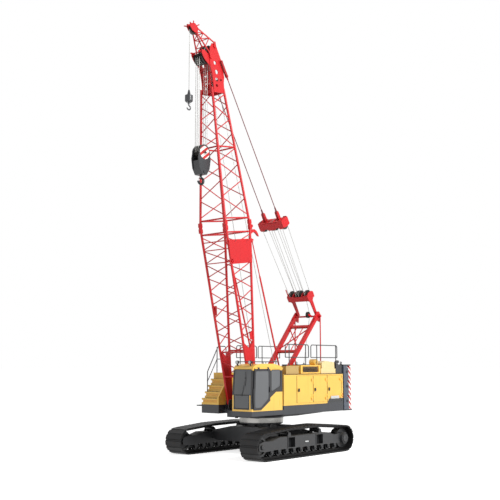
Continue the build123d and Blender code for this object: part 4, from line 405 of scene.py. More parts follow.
def stepFaces(piece, direction, steps):
    # the faces on one side are inset and moved, once for each step of inset and lift
    direction = Vector(direction)
    selectFaces(piece, lambda centre, normal: normal.dot(direction) > 0.9)
    for inset, lift in steps:
        bpy.ops.mesh.inset(thickness=inset, depth=0)
        bpy.ops.transform.translate(value=direction * lift)
    deselect()
    return piece


def shapeEnd(piece, direction, scale, pull=None):
    # the faces on one side are drawn out, if asked, and scaled
    direction = Vector(direction)
    selectFaces(piece, lambda centre, normal: normal.dot(direction) > 0.9)
    if pull:
        bpy.ops.mesh.extrude_region_move(TRANSFORM_OT_translate={"value": pull})
    bpy.ops.transform.resize(value=scale)
    deselect()
    return piece


def facing(direction):
    return Vector(direction).to_track_quat("Z", "Y").to_euler()


def settle(piece):
    # the place goes into the mesh, and the object stands at the origin
    pick([piece])
    bpy.ops.object.transform_apply(location=True, rotation=True, scale=True)
    return piece


def merge(pieces):
    for piece in pieces:
        settle(piece)
    pick(pieces)
    if len(pieces) > 1:
        bpy.ops.object.join()
    return bpy.context.object


def finish(pieces, name, material, body=None, smooth=35):
    piece = merge(pieces if isinstance(pieces, list) else [pieces])
    piece.name = piece.data.name = name
    pick([piece])
    bpy.ops.object.shade_smooth_by_angle(angle=radians(smooth))
    piece.data.materials.clear()
    piece.data.materials.append(materials[material])
    if body:
        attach(piece, body)
    return piece


def applyModifiers(piece):
    pick([piece])
    for modifier in list(piece.modifiers):
        bpy.ops.object.modifier_apply(modifier=modifier.name)


def bevelled(piece, width, segments=2, angle=40):
    settle(piece)
    modifier = piece.modifiers.new("bevel", "BEVEL")
    modifier.width, modifier.segments, modifier.limit_method = width, segments, "ANGLE"
    modifier.angle_limit = radians(angle)
    applyModifiers(piece)
    return piece


def addBlock(low, high, width=0.0, segments=2):
    low, high = Vector(low), Vector(high)
    deselect()
    bpy.ops.mesh.primitive_cube_add(size=1, location=(low + high) / 2, scale=high - low)
    piece = bpy.context.object
    return bevelled(piece, width, segments) if width else settle(piece)


def addTube(start, end, radius, sides=16, bevel=0.0):
    start, end = Vector(start), Vector(end)
    deselect()
    bpy.ops.mesh.primitive_cylinder_add(vertices=sides, radius=radius, depth=(end - start).length,
                                        location=(start + end) / 2, rotation=facing(end - start))
    piece = bpy.context.object
    return bevelled(piece, bevel, 2, 50) if bevel else settle(piece)


def repeatAt(piece, spots):
    # the piece stands at the first spot; each other spot gets a copy with its own mesh
    copies = [piece]
    for spot in spots[1:]:
        pick([piece])
        bpy.ops.object.duplicate(linked=False)
        copies.append(bpy.context.object)
        bpy.ops.transform.translate(value=Vector(spot) - Vector(spots[0]))
        settle(copies[-1])
    return copies


def ringSpots(centre, radius, count, first=0.0, flat=False):
    # spots on a circle round a pin that lies across the machine, or round an upright one
    spots = []
    for number in range(count):
        turn = first + number * 2 * pi / count
        x, side = radius * cos(turn), radius * sin(turn)
        spots.append(Vector(centre) + Vector((x, side, 0) if flat else (x, 0, side)))
    return spots


def addHexNut(spot, direction, across, height):
    # nut: hexagon with its corners turned off and the bolt's end standing in it
    spot, direction = Vector(spot), Vector(direction).normalized()
    nut = addTube(spot, spot + direction * height, across * 0.577, 6)
    stepFaces(nut, direction, [(across * 0.08, across * 0.05)])
    bolt = addTube(spot + direction * height * 0.7, spot + direction * (height + across * 0.3), across * 0.3, 10,
                   across * 0.04)
    return merge([nut, bolt])


def addNuts(spots, direction, across, height):
    # one nut is modelled, and the others are its copies
    return repeatAt(addHexNut(spots[0], direction, across, height), spots)


ropeShape = {"strands": 6, "layLengths": 6.5, "stepsPerLay": 6, "valley": 0.78, "sides": 8, "stepsPerRadian": 9,
             "stepsPerTurn": 28}


def closeEnds(piece):
    edit(piece, "EDGE", False)
    bpy.ops.mesh.select_non_manifold()
    bpy.ops.mesh.fill_holes(sides=0)
    bpy.ops.mesh.select_all(action="SELECT")
    bpy.ops.mesh.normals_make_consistent(inside=False)
    deselect()
    return piece


def addRope(start, end, radius):
    # strands laid round each other: a lobed circle carried along the rope by a screw
    start, end = Vector(start), Vector(end)
    length = (end - start).length
    turns = length / (ropeShape["layLengths"] * 2 * radius)
    deselect()
    bpy.ops.mesh.primitive_circle_add(vertices=ropeShape["strands"] * 2, radius=radius)
    rope = bpy.context.object
    mesh = edit(rope, "VERT", False)
    for vertex in list(mesh.verts)[::2]:
        vertex.select_set(True)
    bmesh.update_edit_mesh(rope.data)
    bpy.ops.transform.resize(value=(ropeShape["valley"], ropeShape["valley"], 1))
    deselect()
    screw = rope.modifiers.new("lay", "SCREW")
    screw.angle, screw.screw_offset, screw.axis = turns * 2 * pi, length, "Z"
    screw.steps = screw.render_steps = max(2, int(turns * ropeShape["stepsPerLay"]))
    screw.use_merge_vertices = False
    applyModifiers(rope)
    rope.location, rope.rotation_euler = start, facing(end - start)
    return closeEnds(settle(rope))


def addRopeCircle(centre, radius, turn, ropeRadius):
    # the rope's section, at an angle round a sheave or drum whose pin lies across the machine
    deselect()
    spot = Vector(centre) + Vector((cos(turn), 0, sin(turn))) * radius
    bpy.ops.mesh.primitive_circle_add(vertices=ropeShape["sides"], radius=ropeRadius, location=spot,
                                      rotation=facing((-sin(turn), 0, cos(turn))))
    return settle(bpy.context.object)


def addWrap(centre, radius, first, sweep, ropeRadius):
    # rope that lies on a sheave, from the angle first
    wrap = addRopeCircle(centre, radius, first, ropeRadius)
    edit(wrap)
    steps = max(3, int(abs(sweep) * ropeShape["stepsPerRadian"]))
    bpy.ops.mesh.spin(steps=steps, angle=sweep, center=centre, axis=(0, -1, 0))
    deselect()
    return closeEnds(settle(wrap))


def addCoils(centre, radius, ropeRadius, pitch, turns):
    # a wire or rope wound side by side, leftwards from the centre
    coils = addRopeCircle(centre, radius, 0, ropeRadius)
    bpy.context.scene.cursor.location = centre
    pick([coils])
    bpy.ops.object.origin_set(type="ORIGIN_CURSOR")
    screw = coils.modifiers.new("turns", "SCREW")
    screw.axis, screw.angle, screw.screw_offset, screw.iterations = "Y", 2 * pi, pitch, turns
    screw.steps = screw.render_steps = ropeShape["stepsPerTurn"]
    applyModifiers(coils)
    bpy.context.scene.cursor.location = (0, 0, 0)
    return closeEnds(settle(coils))


def besidePin(pin, y, radius, turn):
    return Vector((pin.x + radius * cos(turn), y, pin.z + radius * sin(turn)))


def turnOf(run):
    # where a rope on its way along a run leaves a sheave that lies on its right
    return atan2(run.z, run.x) + pi / 2


# luffing ropes: two runs from each sheave of the gantry block to the bridle
luff = {"radius": 0.0095, "sheaveRadius": 0.2, "block": 0.90, "bridle": 4.08, "groove": 0.0127,
        "rows": ((-0.390, -0.508), (-0.060, -0.060), (0.060, 0.060), (0.390, 0.508))}
reach = luff["sheaveRadius"] - luff["groove"]
falls = [addRope(onLine(luff["block"], side * reach, low), onLine(luff["bridle"], side * reach, high), luff["radius"])
         for low, high in luff["rows"] for side in (-1, 1)]
luffingFalls = finish(falls, "luffingFalls", "wireRope")
onLine(luff["block"] + 0.05, 0, 0)
onLine(luff["bridle"] - 0.05, 0, 0)
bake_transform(luffingFalls)
lineTurn = atan2(luffingLine.z, luffingLine.x)
for name, body, distance, first, rows in (
        ("luffingTurnsAtBlock", "gantry_block", luff["block"], lineTurn + pi / 2, [low for low, high in luff["rows"]]),
        ("luffingTurnsAtBridle", "bridle", luff["bridle"], lineTurn - pi / 2, [high for low, high in luff["rows"]])):
    wrap = addWrap(onLine(distance, 0, rows[0]), reach, first, pi, luff["radius"])
    finish(repeatAt(wrap, [(0, y, 0) for y in rows]), name, "wireRope", body)

# hoist ropes: falls from the head to the hook block, and the turns round both
hoist = {"radius": 0.011, "groove": 0.0127, "headT": 12.93, "headA": 0.43, "headRadius": 0.230, "sheaveStep": 0.088,
         "blockRadius": 0.225, "blockPinZ": 11.01, "guideT": 13.30, "guideA": 0.12, "guideRadius": 0.150,
         "guideStep": 0.10, "tipT": 13.95, "tipA": 0.80, "tipRadius": 0.160}
headPin = onBoom(hoist["headT"], hoist["headA"], 0)
blockPin = Vector((headPin.x, 0, hoist["blockPinZ"]))
headReach, blockReach, guideReach, tipReach = [hoist[size] - hoist["groove"] for size in (
    "headRadius", "blockRadius", "guideRadius", "tipRadius")]
rows = [number * hoist["sheaveStep"] for number in (-1, 0, 1)]
fall = addRope((headPin.x - headReach, rows[0], headPin.z), (headPin.x - headReach, rows[0], blockPin.z),
               hoist["radius"])
falls = repeatAt(fall, [(side * headReach, y, 0) for side in (-1, 1) for y in rows])
wrap = addWrap((headPin.x, rows[0], blockPin.z), blockReach, pi, pi, hoist["radius"])
falls += repeatAt(wrap, [(0, y, 0) for y in rows])
hoistFalls = finish(falls, "hoistFalls", "wireRope", "main_block")
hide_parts("hoist_falls")
wrap = addWrap((headPin.x, rows[0], headPin.z), headReach, 0, pi, hoist["radius"])
turns = repeatAt(wrap, [(0, y, 0) for y in rows])

# from each guide sheave on to the tip sheave and to the outer head sheave
tipPin = onBoom(hoist["tipT"], hoist["tipA"], 0)
guidePin = onBoom(hoist["guideT"], hoist["guideA"], 0)
boomTurn = boom["lean"] + pi / 2
for pin, y, endY, endReach in ((tipPin, -hoist["guideStep"], 0, tipReach),
                               (headPin, hoist["guideStep"], hoist["sheaveStep"], headReach)):
    turn = turnOf(pin - guidePin)
    turns.append(addRope(besidePin(guidePin, y, guideReach, turn), besidePin(pin, endY, endReach, turn),
                         hoist["radius"]))
    turns.append(addWrap((guidePin.x, y, guidePin.z), guideReach, turn, boomTurn - turn, hoist["radius"]))
turns.append(addWrap(tipPin, tipReach, 0, turnOf(tipPin - guidePin), hoist["radius"]))
finish(turns, "ropesOverHead", "wireRope", "boom")
tipFront = tipPin.x + tipReach
tipRope = finish(addRope((tipFront, 0, tipPin.z), (tipFront, 0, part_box("tip_rope")[0].z + 0.01), hoist["radius"]),
                 "tipRope", "wireRope", "tip_hook")
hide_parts("tip_rope")

# winches: their drums' ropes, and the runs up through the boom to the guide sheaves
winches = {"luff": (-1.98, 2.25, 0.230), "main": (-0.78, 2.23, 0.290), "aux": (0.28, 2.23, 0.290),
           "drumShare": 0.72, "halfLength": 0.235, "ropeStep": 0.0235, "firstLayer": 0.014}


def atDrum(winch, y):
    # middle of the drum and the radius at which its rope leaves
    x, z, flange = winches[winch]
    return at(x, y, z), flange * winches["drumShare"] + winches["firstLayer"]


runs = []
for winch, y in (("main", hoist["guideStep"]), ("aux", -hoist["guideStep"])):
    drum, drumReach = atDrum(winch, y)
    top = besidePin(guidePin, y, guideReach, boomTurn)
    runs.append(addRope(besidePin(drum, y, drumReach, turnOf(top - drum)), top, hoist["radius"]))
hoistRuns = finish(runs, "hoistRuns", "wireRope")
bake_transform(hoistRuns)

# from the luffing winch up behind the gantry's guide sheave and on to the gantry block
gantryGuide = {"x": -2.705, "y": 0.25, "z": 5.335, "radius": 0.13}
sheave = at(gantryGuide["x"], gantryGuide["y"], gantryGuide["z"])
drum, drumReach = atDrum("luff", gantryGuide["y"])
onward = onLine(luff["block"] - 0.10, 0, gantryGuide["y"]) - sheave
lowTurn, highTurn = turnOf(sheave - drum), turnOf(onward)
reach = gantryGuide["radius"] - luff["groove"]
finish([addRope(besidePin(drum, drum.y, drumReach, lowTurn), besidePin(sheave, sheave.y, reach, lowTurn),
                luff["radius"]),
        addWrap(sheave, reach, highTurn, lowTurn - highTurn, luff["radius"])],
       "luffingRun", "wireRope", "upper")
luffingLead = finish(addRope(besidePin(sheave, sheave.y, reach, highTurn), sheave + onward, luff["radius"]),
                     "luffingLead", "wireRope")
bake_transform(luffingLead)

wound = []
for winch in ("luff", "main", "aux"):
    x, z, flange = winches[winch]
    half, step = winches["halfLength"], winches["ropeStep"]
    wound.append(addCoils(at(x, -half, z), flange * winches["drumShare"] + hoist["radius"], hoist["radius"], step,
                          int(2 * half / step)))
finish(wound, "woundRope", "wireRope", "upper")
print("ropes laid")

# undercarriage: covers, caps and bolts along both side frames
tracks = {"frameOuter": 2.0845, "frameLow": 0.345, "frameHigh": 0.765, "sink": 0.002,
          "drive": {"at": (-2.45, 0.496), "stand": 0.070, "radius": 0.205, "height": 0.022, "sides": 40,
                    "steps": ((0.055, 0.0), (0.008, 0.030), (0.050, 0.0), (0.006, -0.012)),
                    "bolts": 12, "boltRing": 0.178, "firstBolt": 0.0, "across": 0.030, "boltHeight": 0.016},
          "idler": {"at": (2.43, 0.481), "stand": 0.024, "radius": 0.080, "height": 0.020, "sides": 32,
                    "steps": ((0.030, 0.016),),
                    "bolts": 4, "boltRing": 0.063, "firstBolt": pi / 4, "across": 0.022, "boltHeight": 0.012},
          "rollers": 10, "rollerReach": 1.9, "rollerZ": 0.2425, "rollerCap": (0.036, 0.018),
          "hangerBolts": {"shift": 0.062, "drop": 0.035, "across": 0.024, "height": 0.013},
          "windows": (0.80, -0.90), "windowSize": 0.39,
          "collar": {"side": 0.035, "over": 0.012, "proud": 0.014, "width": 0.033},
          "beamPin": {"radius": 0.05, "height": 0.05, "rise": 0.08, "depth": 0.19}}
bolts, covers, caps, plates = [], [], [], []
for side in (1, -1):
    wall = side * tracks["frameOuter"]
    for cover in (tracks["drive"], tracks["idler"]):
        x, z = cover["at"]
        face = wall + side * cover["stand"]
        disc = addTube(at(x, face - side * tracks["sink"], z), at(x, face + side * cover["height"], z),
                       cover["radius"], cover["sides"])
        covers.append(bevelled(stepFaces(disc, (0, side, 0), cover["steps"]), 0.003))
        spots = ringSpots(at(x, face + side * cover["height"], z), cover["boltRing"], cover["bolts"],
                         cover["firstBolt"])
        bolts += addNuts(spots, (0, side, 0), cover["across"], cover["boltHeight"])
    # roller shafts: an end cap each, and two bolts through the hanger over it
    step = 2 * tracks["rollerReach"] / (tracks["rollers"] - 1)
    places = [tracks["rollerReach"] - number * step for number in range(tracks["rollers"])]
    radius, height = tracks["rollerCap"]
    first = at(places[0], wall, tracks["rollerZ"])
    cap = addTube(first - Vector((0, side * tracks["sink"], 0)), first + Vector((0, side * height, 0)), radius, 20,
                  0.004)
    caps += repeatAt(cap, [(x, 0, 0) for x in places])
    hanger = tracks["hangerBolts"]
    spots = [at(x + way * hanger["shift"], wall, tracks["frameLow"] - hanger["drop"])
             for x in places for way in (-1, 1)]
    bolts += addNuts(spots, (0, side, 0), hanger["across"], hanger["height"])
    # openings for the cross beams: a welded collar, and the ends of the two pins behind it
    half, middle = tracks["windowSize"] / 2, (tracks["frameLow"] + tracks["frameHigh"]) / 2
    rim, beamPin = tracks["collar"], tracks["beamPin"]
    inner = wall - side * beamPin["depth"]
    for x in tracks["windows"]:
        nearY, farY = sorted((wall - side * 0.004, wall + side * rim["proud"]))
        wide, high = half + rim["side"], half + rim["over"]
        collar = addBlock(at(x - wide, nearY, middle - high), at(x + wide, farY, middle + high))
        selectFaces(collar, lambda centre, normal: abs(normal.y) > 0.9)
        bpy.ops.mesh.inset(thickness=rim["width"], depth=0)
        bpy.ops.mesh.delete(type="FACE")
        edit(collar, "EDGE", False)
        bpy.ops.mesh.select_non_manifold()
        bpy.ops.mesh.bridge_edge_loops()
        deselect()
        plates.append(bevelled(collar, 0.003))
        for z in (middle - beamPin["rise"], middle + beamPin["rise"]):
            caps.append(addTube(at(x, inner - side * tracks["sink"], z), at(x, inner + side * beamPin["height"], z),
                                beamPin["radius"], 24, 0.006))
for pieces, name, material in ((covers, "driveAndIdlerCovers", "undercarriage"),
                               (bolts, "undercarriageBolts", "darkBolt"), (caps, "rollerCaps", "undercarriage"),
                               (plates, "beamCollars", "undercarriage")):
    finish(pieces, name, material, "undercarriage")

# bare plate on the left frame, and bolts round the slew ring
signPlate = {"rearX": -0.22, "frontX": -0.02, "low": 0.50, "high": 0.545, "proud": 0.0055}
y = tracks["frameOuter"]
finish(addBlock(at(signPlate["rearX"], y - 0.0015, signPlate["low"]),
                at(signPlate["frontX"], y + signPlate["proud"], signPlate["high"]), 0.002), "frameSignPlate",
       "paleSign", "undercarriage")
ring = {"radius": 0.800, "z": 1.110, "bolts": 36, "across": 0.030, "height": 0.018}
spots = ringSpots(at(0, 0, ring["z"]), ring["radius"], ring["bolts"], flat=True)
finish(addNuts(spots, (0, 0, -1), ring["across"], ring["height"]), "ringBolts", "darkBolt", "undercarriage")
print("undercarriage dressed")

# cab
cab = {"frontX": 2.42, "rearX": 0.70, "innerY": 0.68, "outerY": 1.60, "floorZ": 1.67, "eavesZ": 3.19, "roofZ": 3.34,
       "rake": 0.07, "wall": 0.045, "seatY": 1.14}


def inCab(x, y, rise):
    # a place by its height over the cab's floor
    return at(x, y, cab["floorZ"] + cab["wall"] + rise)


def screenX(z):
    share = (z - cab["floorZ"]) / (cab["eavesZ"] - cab["floorZ"])
    return cab["frontX"] - cab["rake"] * share


def roundedLoop(corners, radius, steps=4):
    # corners of a window as a closed line with rounded turns
    points = []
    for number, corner in enumerate(corners):
        before = (corners[number - 1] - corner).normalized() * radius
        after = (corners[(number + 1) % len(corners)] - corner).normalized() * radius
        for step in range(steps + 1):
            share = step / steps
            points.append((corner + before) * (1 - share) ** 2 + corner * 2 * share * (1 - share)
                          + (corner + after) * share ** 2)
    return points


def addGasket(corners, radius, thickness):
    # rubber profile pressed round a pane: a closed line with a round section, turned to mesh
    deselect()
    bpy.ops.curve.primitive_bezier_circle_add(location=(0, 0, 0))
    loop = bpy.context.object
    loop.data.splines.clear()
    spline = loop.data.splines.new("POLY")
    points = roundedLoop(corners, radius)
    spline.points.add(len(points) - 1)
    for point, spot in zip(spline.points, points):
        point.co = (*spot, 1)
    spline.use_cyclic_u = True
    loop.data.dimensions = "3D"
    loop.data.bevel_depth, loop.data.bevel_resolution = thickness, 2
    pick([loop])
    bpy.ops.object.convert(target="MESH")
    return settle(bpy.context.object)


# windows: corners of the panes; a screen ends with the turn at its corners, and a side starts with its place
# and the radius of its rubber
windows = {
    "rubber": 0.009, "stand": 0.003, "sideTurn": 0.07, "rearTurn": 0.04,
    "screens": (((0.775, 1.765), (1.45, 1.765), (1.45, 2.215), (0.775, 2.215), 0.05),
                ((0.738, 2.262), (1.538, 2.262), (1.538, 3.135), (0.738, 3.135), 0.03)),
    "sides": ((cab["outerY"] - 0.004, 0.006, ((1.33, 2.33), (1.33, 3.12), (0.80, 3.12), (0.80, 2.54))),
              (cab["innerY"] - 0.001, 0.009, ((2.27, 2.30), (2.22, 3.12), (0.83, 3.12), (0.83, 2.30)))),
    "rear": ((0.80, 2.45), (1.48, 2.45), (1.48, 3.12), (0.80, 3.12))}
gaskets = [addGasket([at(screenX(z) + windows["stand"], y, z) for y, z in corners], turn, windows["rubber"])
           for *corners, turn in windows["screens"]]
gaskets += [addGasket([at(x, y, z) for x, z in corners], windows["sideTurn"], rubber)
            for y, rubber, corners in windows["sides"]]
gaskets.append(addGasket([at(cab["rearX"] - 0.001, y, z) for y, z in windows["rear"]], windows["rearTurn"],
                         windows["rubber"]))
finish(gaskets, "cabGaskets", "rubber", "upper")

# wiper across the screen, on a spindle over the bar between the two panes
wiper = {"pin": (1.14, 2.235), "end": (1.30, 2.86), "bladeY": 1.275, "bladeHalf": 0.007, "blade": (2.56, 3.06),
         "clip": (1.262, 1.306, 2.80, 2.86), "off": 0.03}
x = screenX(2.24) + wiper["off"]
arm = addTube(at(x, *wiper["pin"]), at(screenX(2.86) + 0.035, *wiper["end"]), 0.008, 8)
spindle = addTube(at(x - 0.035, *wiper["pin"]), at(x + 0.022, *wiper["pin"]), 0.022, 16, 0.004)
x, y, half, (low, high) = screenX(2.7), wiper["bladeY"], wiper["bladeHalf"], wiper["blade"]
blade = addBlock(at(x + 0.016, y - half, low), at(x + wiper["off"], y + half, high), 0.003)
x, (left, right, low, high) = screenX(2.8), wiper["clip"]
clip = addBlock(at(x + 0.024, left, low), at(x + 0.048, right, high), 0.004)
finish([arm, spindle, blade, clip], "screenWiper", "plastic", "upper")

# two work lamps over the screen
lamp = {"x": 2.33, "sides": (0.84, 1.44), "radius": 0.062, "lensRadius": 0.053, "rim": (0.008, -0.010),
        "backShare": 0.55, "backLength": 0.030}
spot = at(lamp["x"], lamp["sides"][0], cab["roofZ"] - 0.02)
foot = addBlock(spot + Vector((-0.035, -0.02, -0.06)), spot + Vector((0.0, 0.02, 0.03)), 0.004)
body = addTube(spot + Vector((-0.04, 0, 0.075)), spot + Vector((0.045, 0, 0.068)), lamp["radius"], 28)
stepFaces(body, (1, 0, 0), [lamp["rim"]])
shapeEnd(body, (-1, 0, 0), (1, lamp["backShare"], lamp["backShare"]), (-lamp["backLength"], 0, 0))
lens = addTube(spot + Vector((0.034, 0, 0.069)), spot + Vector((0.040, 0, 0.0685)), lamp["lensRadius"], 28, 0.002)
spots = [(0, y, 0) for y in lamp["sides"]]
finish(repeatAt(merge([foot, bevelled(body, 0.003)]), spots), "roofLamps", "plastic", "upper")
finish(repeatAt(lens, spots), "roofLampLenses", "lens", "upper")

# guard bar round the roof on six feet, and the grab handle at the front corner
roofBar = {"rearX": 0.80, "middleX": 1.54, "frontX": 2.28, "sides": (cab["innerY"] + 0.09, cab["outerY"] - 0.09),
           "z": 3.41, "radius": 0.014, "footRadius": 0.012}
(low, high), z = roofBar["sides"], roofBar["z"]
rear, front = roofBar["rearX"], roofBar["frontX"]
across = addTube(at(front, low, z), at(front, high, z), roofBar["radius"], 12)
along = addTube(at(rear, low, z), at(front, low, z), roofBar["radius"], 12)
foot = addTube(at(rear, low, cab["roofZ"] - 0.06), at(rear, low, z), roofBar["footRadius"], 10)
bars = repeatAt(across, [(front, 0, 0), (rear, 0, 0)]) + repeatAt(along, [(0, low, 0), (0, high, 0)])
bars += repeatAt(foot, [(x, y, 0) for x in (rear, roofBar["middleX"], front) for y in (low, high)])
finish(bars, "cabRoofRail", "plastic", "upper")
grab = {"x": 2.375, "low": 1.95, "high": 2.45, "radius": 0.012, "out": cab["outerY"] + 0.045}
x, low, high, radius = grab["x"], grab["low"], grab["high"], grab["radius"]
arm = addTube(at(x, cab["outerY"] - 0.02, low), at(x, grab["out"], low), radius, 10)
grip = addTube(at(x, grab["out"], low - 0.01), at(x, grab["out"], high + 0.01), radius, 10, 0.003)
finish(repeatAt(arm, [(0, 0, low), (0, 0, high)]) + [grip], "cabGrabHandle", "plastic", "upper")

# inside: pedestal, consoles with their levers, pedals and the display on its stalk
console = {"out": 0.29, "half": 0.04, "rearX": 1.50, "frontX": 1.76, "low": 0.255, "high": 0.54,
           "shelf": (1.27, 1.74, 0.20, 0.26), "shelfIn": 0.14, "leverX": 1.662, "bootRadius": 0.030,
           "stemRadius": 0.008, "knobRadius": 0.019}
pedals = {"x": 2.09, "places": (0.98, 1.10, 1.22), "half": 0.035, "low": 0.05, "high": 0.20}
inside = [addBlock(inCab(1.25, 0.98, 0), inCab(1.60, 1.30, 0.05), 0.01),
          addBlock(inCab(1.30, 1.03, 0.05), inCab(1.55, 1.25, 0.25), 0.02, 3)]
for side in (-1, 1):
    y, x, half = cab["seatY"] + side * console["out"], console["leverX"], console["half"]
    rear, front, low, high = console["shelf"]
    inner = y - side * console["shelfIn"]
    inside.append(addBlock(inCab(rear, min(y - half, inner), low), inCab(front, max(y + half, inner), high), 0.01))
    box = addBlock(inCab(console["rearX"], y - half, console["low"]),
                   inCab(console["frontX"], y + half, console["high"]))
    inside.append(bevelled(stepFaces(box, (0, 0, 1), [(0.010, 0.014)]), 0.008, 3))
    boot = addTube(inCab(x, y, 0.550), inCab(x + 0.010, y, 0.600), console["bootRadius"], 20)
    stem = addTube(inCab(x + 0.006, y, 0.58), inCab(x + 0.022, y, 0.66), console["stemRadius"], 10)
    knob = addTube(inCab(x + 0.021, y, 0.655), inCab(x + 0.030, y, 0.700), console["knobRadius"], 16)
    inside += [shapeEnd(boot, (0, 0, 1), (0.4, 0.4, 1)), stem,
               bevelled(shapeEnd(knob, (0, 0, 1), (0.6, 0.6, 1), (0.001, 0, 0.010)), 0.003)]
x, y, half = pedals["x"], pedals["places"][0], pedals["half"]
plate = addBlock(inCab(x - 0.01, y - half, pedals["low"]), inCab(x + 0.01, y + half, pedals["high"]), 0.006)
stem = addTube(inCab(x, y, 0), inCab(x, y, pedals["low"] + 0.02), 0.012, 10)
inside += repeatAt(merge([plate, stem]), [(0, place, 0) for place in pedals["places"]])
inside += [addTube(inCab(2.16, 0.80, 0), at(2.14, 0.80, 2.55), 0.018, 12),
           addBlock(at(2.10, 0.745, 2.52), at(2.15, 0.965, 2.70), 0.012, 3)]
finish(inside, "cabFittings", "plastic", "upper")

# seat: vinyl covers sewn over foam, swollen by a cloth run
# each pad: rear, front, half width, bottom and top over the floor
seat = {"cushion": (1.20, 1.68, 0.22, 0.275, 0.385), "back": (1.13, 1.22, 0.20, 0.40, 1.06),
        "head": (1.105, 1.170, 0.11, 1.10, 1.235), "edge": 0.02, "backLean": radians(-8), "pivotX": 1.20,
        "stalkX": 1.125, "stalkOut": 0.05, "voxel": 0.010, "pressure": 4.0, "cap": 0.016, "frames": 20}


def swell(pad):
    # foam pushes the sewn cover out; points move no further than the cap
    settle(pad)
    remesh = pad.modifiers.new("grid", "REMESH")
    remesh.mode, remesh.voxel_size = "VOXEL", seat["voxel"]
    applyModifiers(pad)
    start = [vertex.co.copy() for vertex in pad.data.vertices]
    cloth = pad.modifiers.new("cloth", "CLOTH")
    cloth.settings.use_pressure, cloth.settings.uniform_pressure_force = True, seat["pressure"]
    cloth.settings.effector_weights.gravity = 0.0
    cloth.settings.quality = 5
    for number in range(1, seat["frames"] + 1):
        bpy.context.scene.frame_set(number)
    applyModifiers(pad)
    bpy.context.scene.frame_set(1)
    for vertex, before in zip(pad.data.vertices, start):
        step = vertex.co - before
        if step.length > seat["cap"]:
            vertex.co = before + step.normalized() * seat["cap"]
    smooth = pad.modifiers.new("smooth", "SUBSURF")
    smooth.levels = smooth.render_levels = 1
    applyModifiers(pad)
    return pad


def addPad(rear, front, half, low, high):
    return addBlock(inCab(rear, cab["seatY"] - half, low), inCab(front, cab["seatY"] + half, high), seat["edge"])


cushion, back, head = [addPad(*seat[part]) for part in ("cushion", "back", "head")]
pick([back])
bpy.ops.transform.rotate(value=seat["backLean"], orient_axis="Y",
                         center_override=inCab(seat["pivotX"], cab["seatY"], seat["back"][3]))
for pad, name in ((cushion, "seatCushion"), (back, "seatBack"), (head, "seatHeadrest")):
    pad = finish(swell(pad), name, "seatCloth", "upper", 60)
    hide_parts("operator_seat")
x, y = seat["stalkX"], cab["seatY"] - seat["stalkOut"]
stalk = addTube(inCab(x, y, 1.02), inCab(x + 0.005, y, 1.14), 0.007, 8)
half = seat["back"][2]
pan = addBlock(inCab(1.21, cab["seatY"] - half, 0.245), inCab(1.60, cab["seatY"] + half, 0.275), 0.008)
finish(repeatAt(stalk, [(0, -seat["stalkOut"], 0), (0, seat["stalkOut"], 0)]) + [pan], "seatFrame", "plastic",
       "upper")
print("cab fitted out")

# house: its doors' latches and hinges
house = {"outerY": 1.60, "doorFace": 1.635, "topZ": 2.96, "doorEdges": (-0.16, -1.19, -2.11, -3.09), "doorLow": 1.88,
         "doorHigh": 2.885}
doorLatch = {"shift": -0.105, "z": 2.36, "halfWidth": 0.045, "halfHeight": 0.060, "proud": 0.007, "lockDrop": 0.040,
             "lockRadius": 0.009, "lockDepth": 0.008}
doorHinge = {"shift": 0.05, "heights": {"low": 2.02, "high": 2.74}, "length": 0.085, "halfHeight": 0.045,
             "nutX": 0.055, "nutRise": 0.025, "nutAcross": 0.013, "nutHeight": 0.004}


def addCup(spot, direction, radius, depth):
    # dished round plate: a disc with a rim and a sunk middle
    spot, direction = Vector(spot), Vector(direction).normalized()
    cup = addTube(spot, spot + direction * depth, radius, 24)
    return bevelled(stepFaces(cup, direction, [(radius * 0.2, depth * -0.5)]), radius * 0.05)


def addLiftingEye(spot, size):
    # forged ring standing on a small foot
    spot = Vector(spot)
    deselect()
    bpy.ops.mesh.primitive_torus_add(major_segments=20, minor_segments=8, major_radius=size * 0.38,
                                     minor_radius=size * 0.14, location=spot + Vector((0, 0, size * 0.50)),
                                     rotation=(pi / 2, 0, 0))
    eye = settle(bpy.context.object)
    half = Vector((size * 0.45, size * 0.3, 0))
    foot = addBlock(spot - half - Vector((0, 0, 0.002)), spot + half + Vector((0, 0, size * 0.12)), size * 0.04)
    return merge([eye, foot])


for number, edge in enumerate(house["doorEdges"][:3], 1):
    spot = at(edge + doorLatch["shift"], house["doorFace"] - 0.004, doorLatch["z"])
    wide, high = doorLatch["halfWidth"], doorLatch["halfHeight"]
    plate = addBlock(spot - Vector((wide, 0.004, high)), spot + Vector((wide, doorLatch["proud"], high)))
    stepFaces(plate, (0, 1, 0), [(0.010, -0.004)])
    lock = addCup(spot + Vector((0, 0.002, -doorLatch["lockDrop"])), (0, 1, 0), doorLatch["lockRadius"],
                  doorLatch["lockDepth"])
    finish([bevelled(plate, 0.002), lock], f"doorLatch{number}", "plastic", f"house_door_{number}")
for number, edge in enumerate(house["doorEdges"][1:], 1):
    for height, z in doorHinge["heights"].items():
        spot = at(edge + doorHinge["shift"], house["doorFace"] - 0.002, z)
        high = doorHinge["halfHeight"]
        leaf = addBlock(spot - Vector((0.002, 0.004, high)), spot + Vector((doorHinge["length"], 0.004, high)), 0.002)
        spots = [spot + Vector((doorHinge["nutX"], 0.003, way * doorHinge["nutRise"])) for way in (-1, 1)]
        heads = addNuts(spots, (0, 1, 0), doorHinge["nutAcross"], doorHinge["nutHeight"])
        finish([leaf, *heads], f"doorHinge{number}{height}", "yellow", f"house_door_{number}")

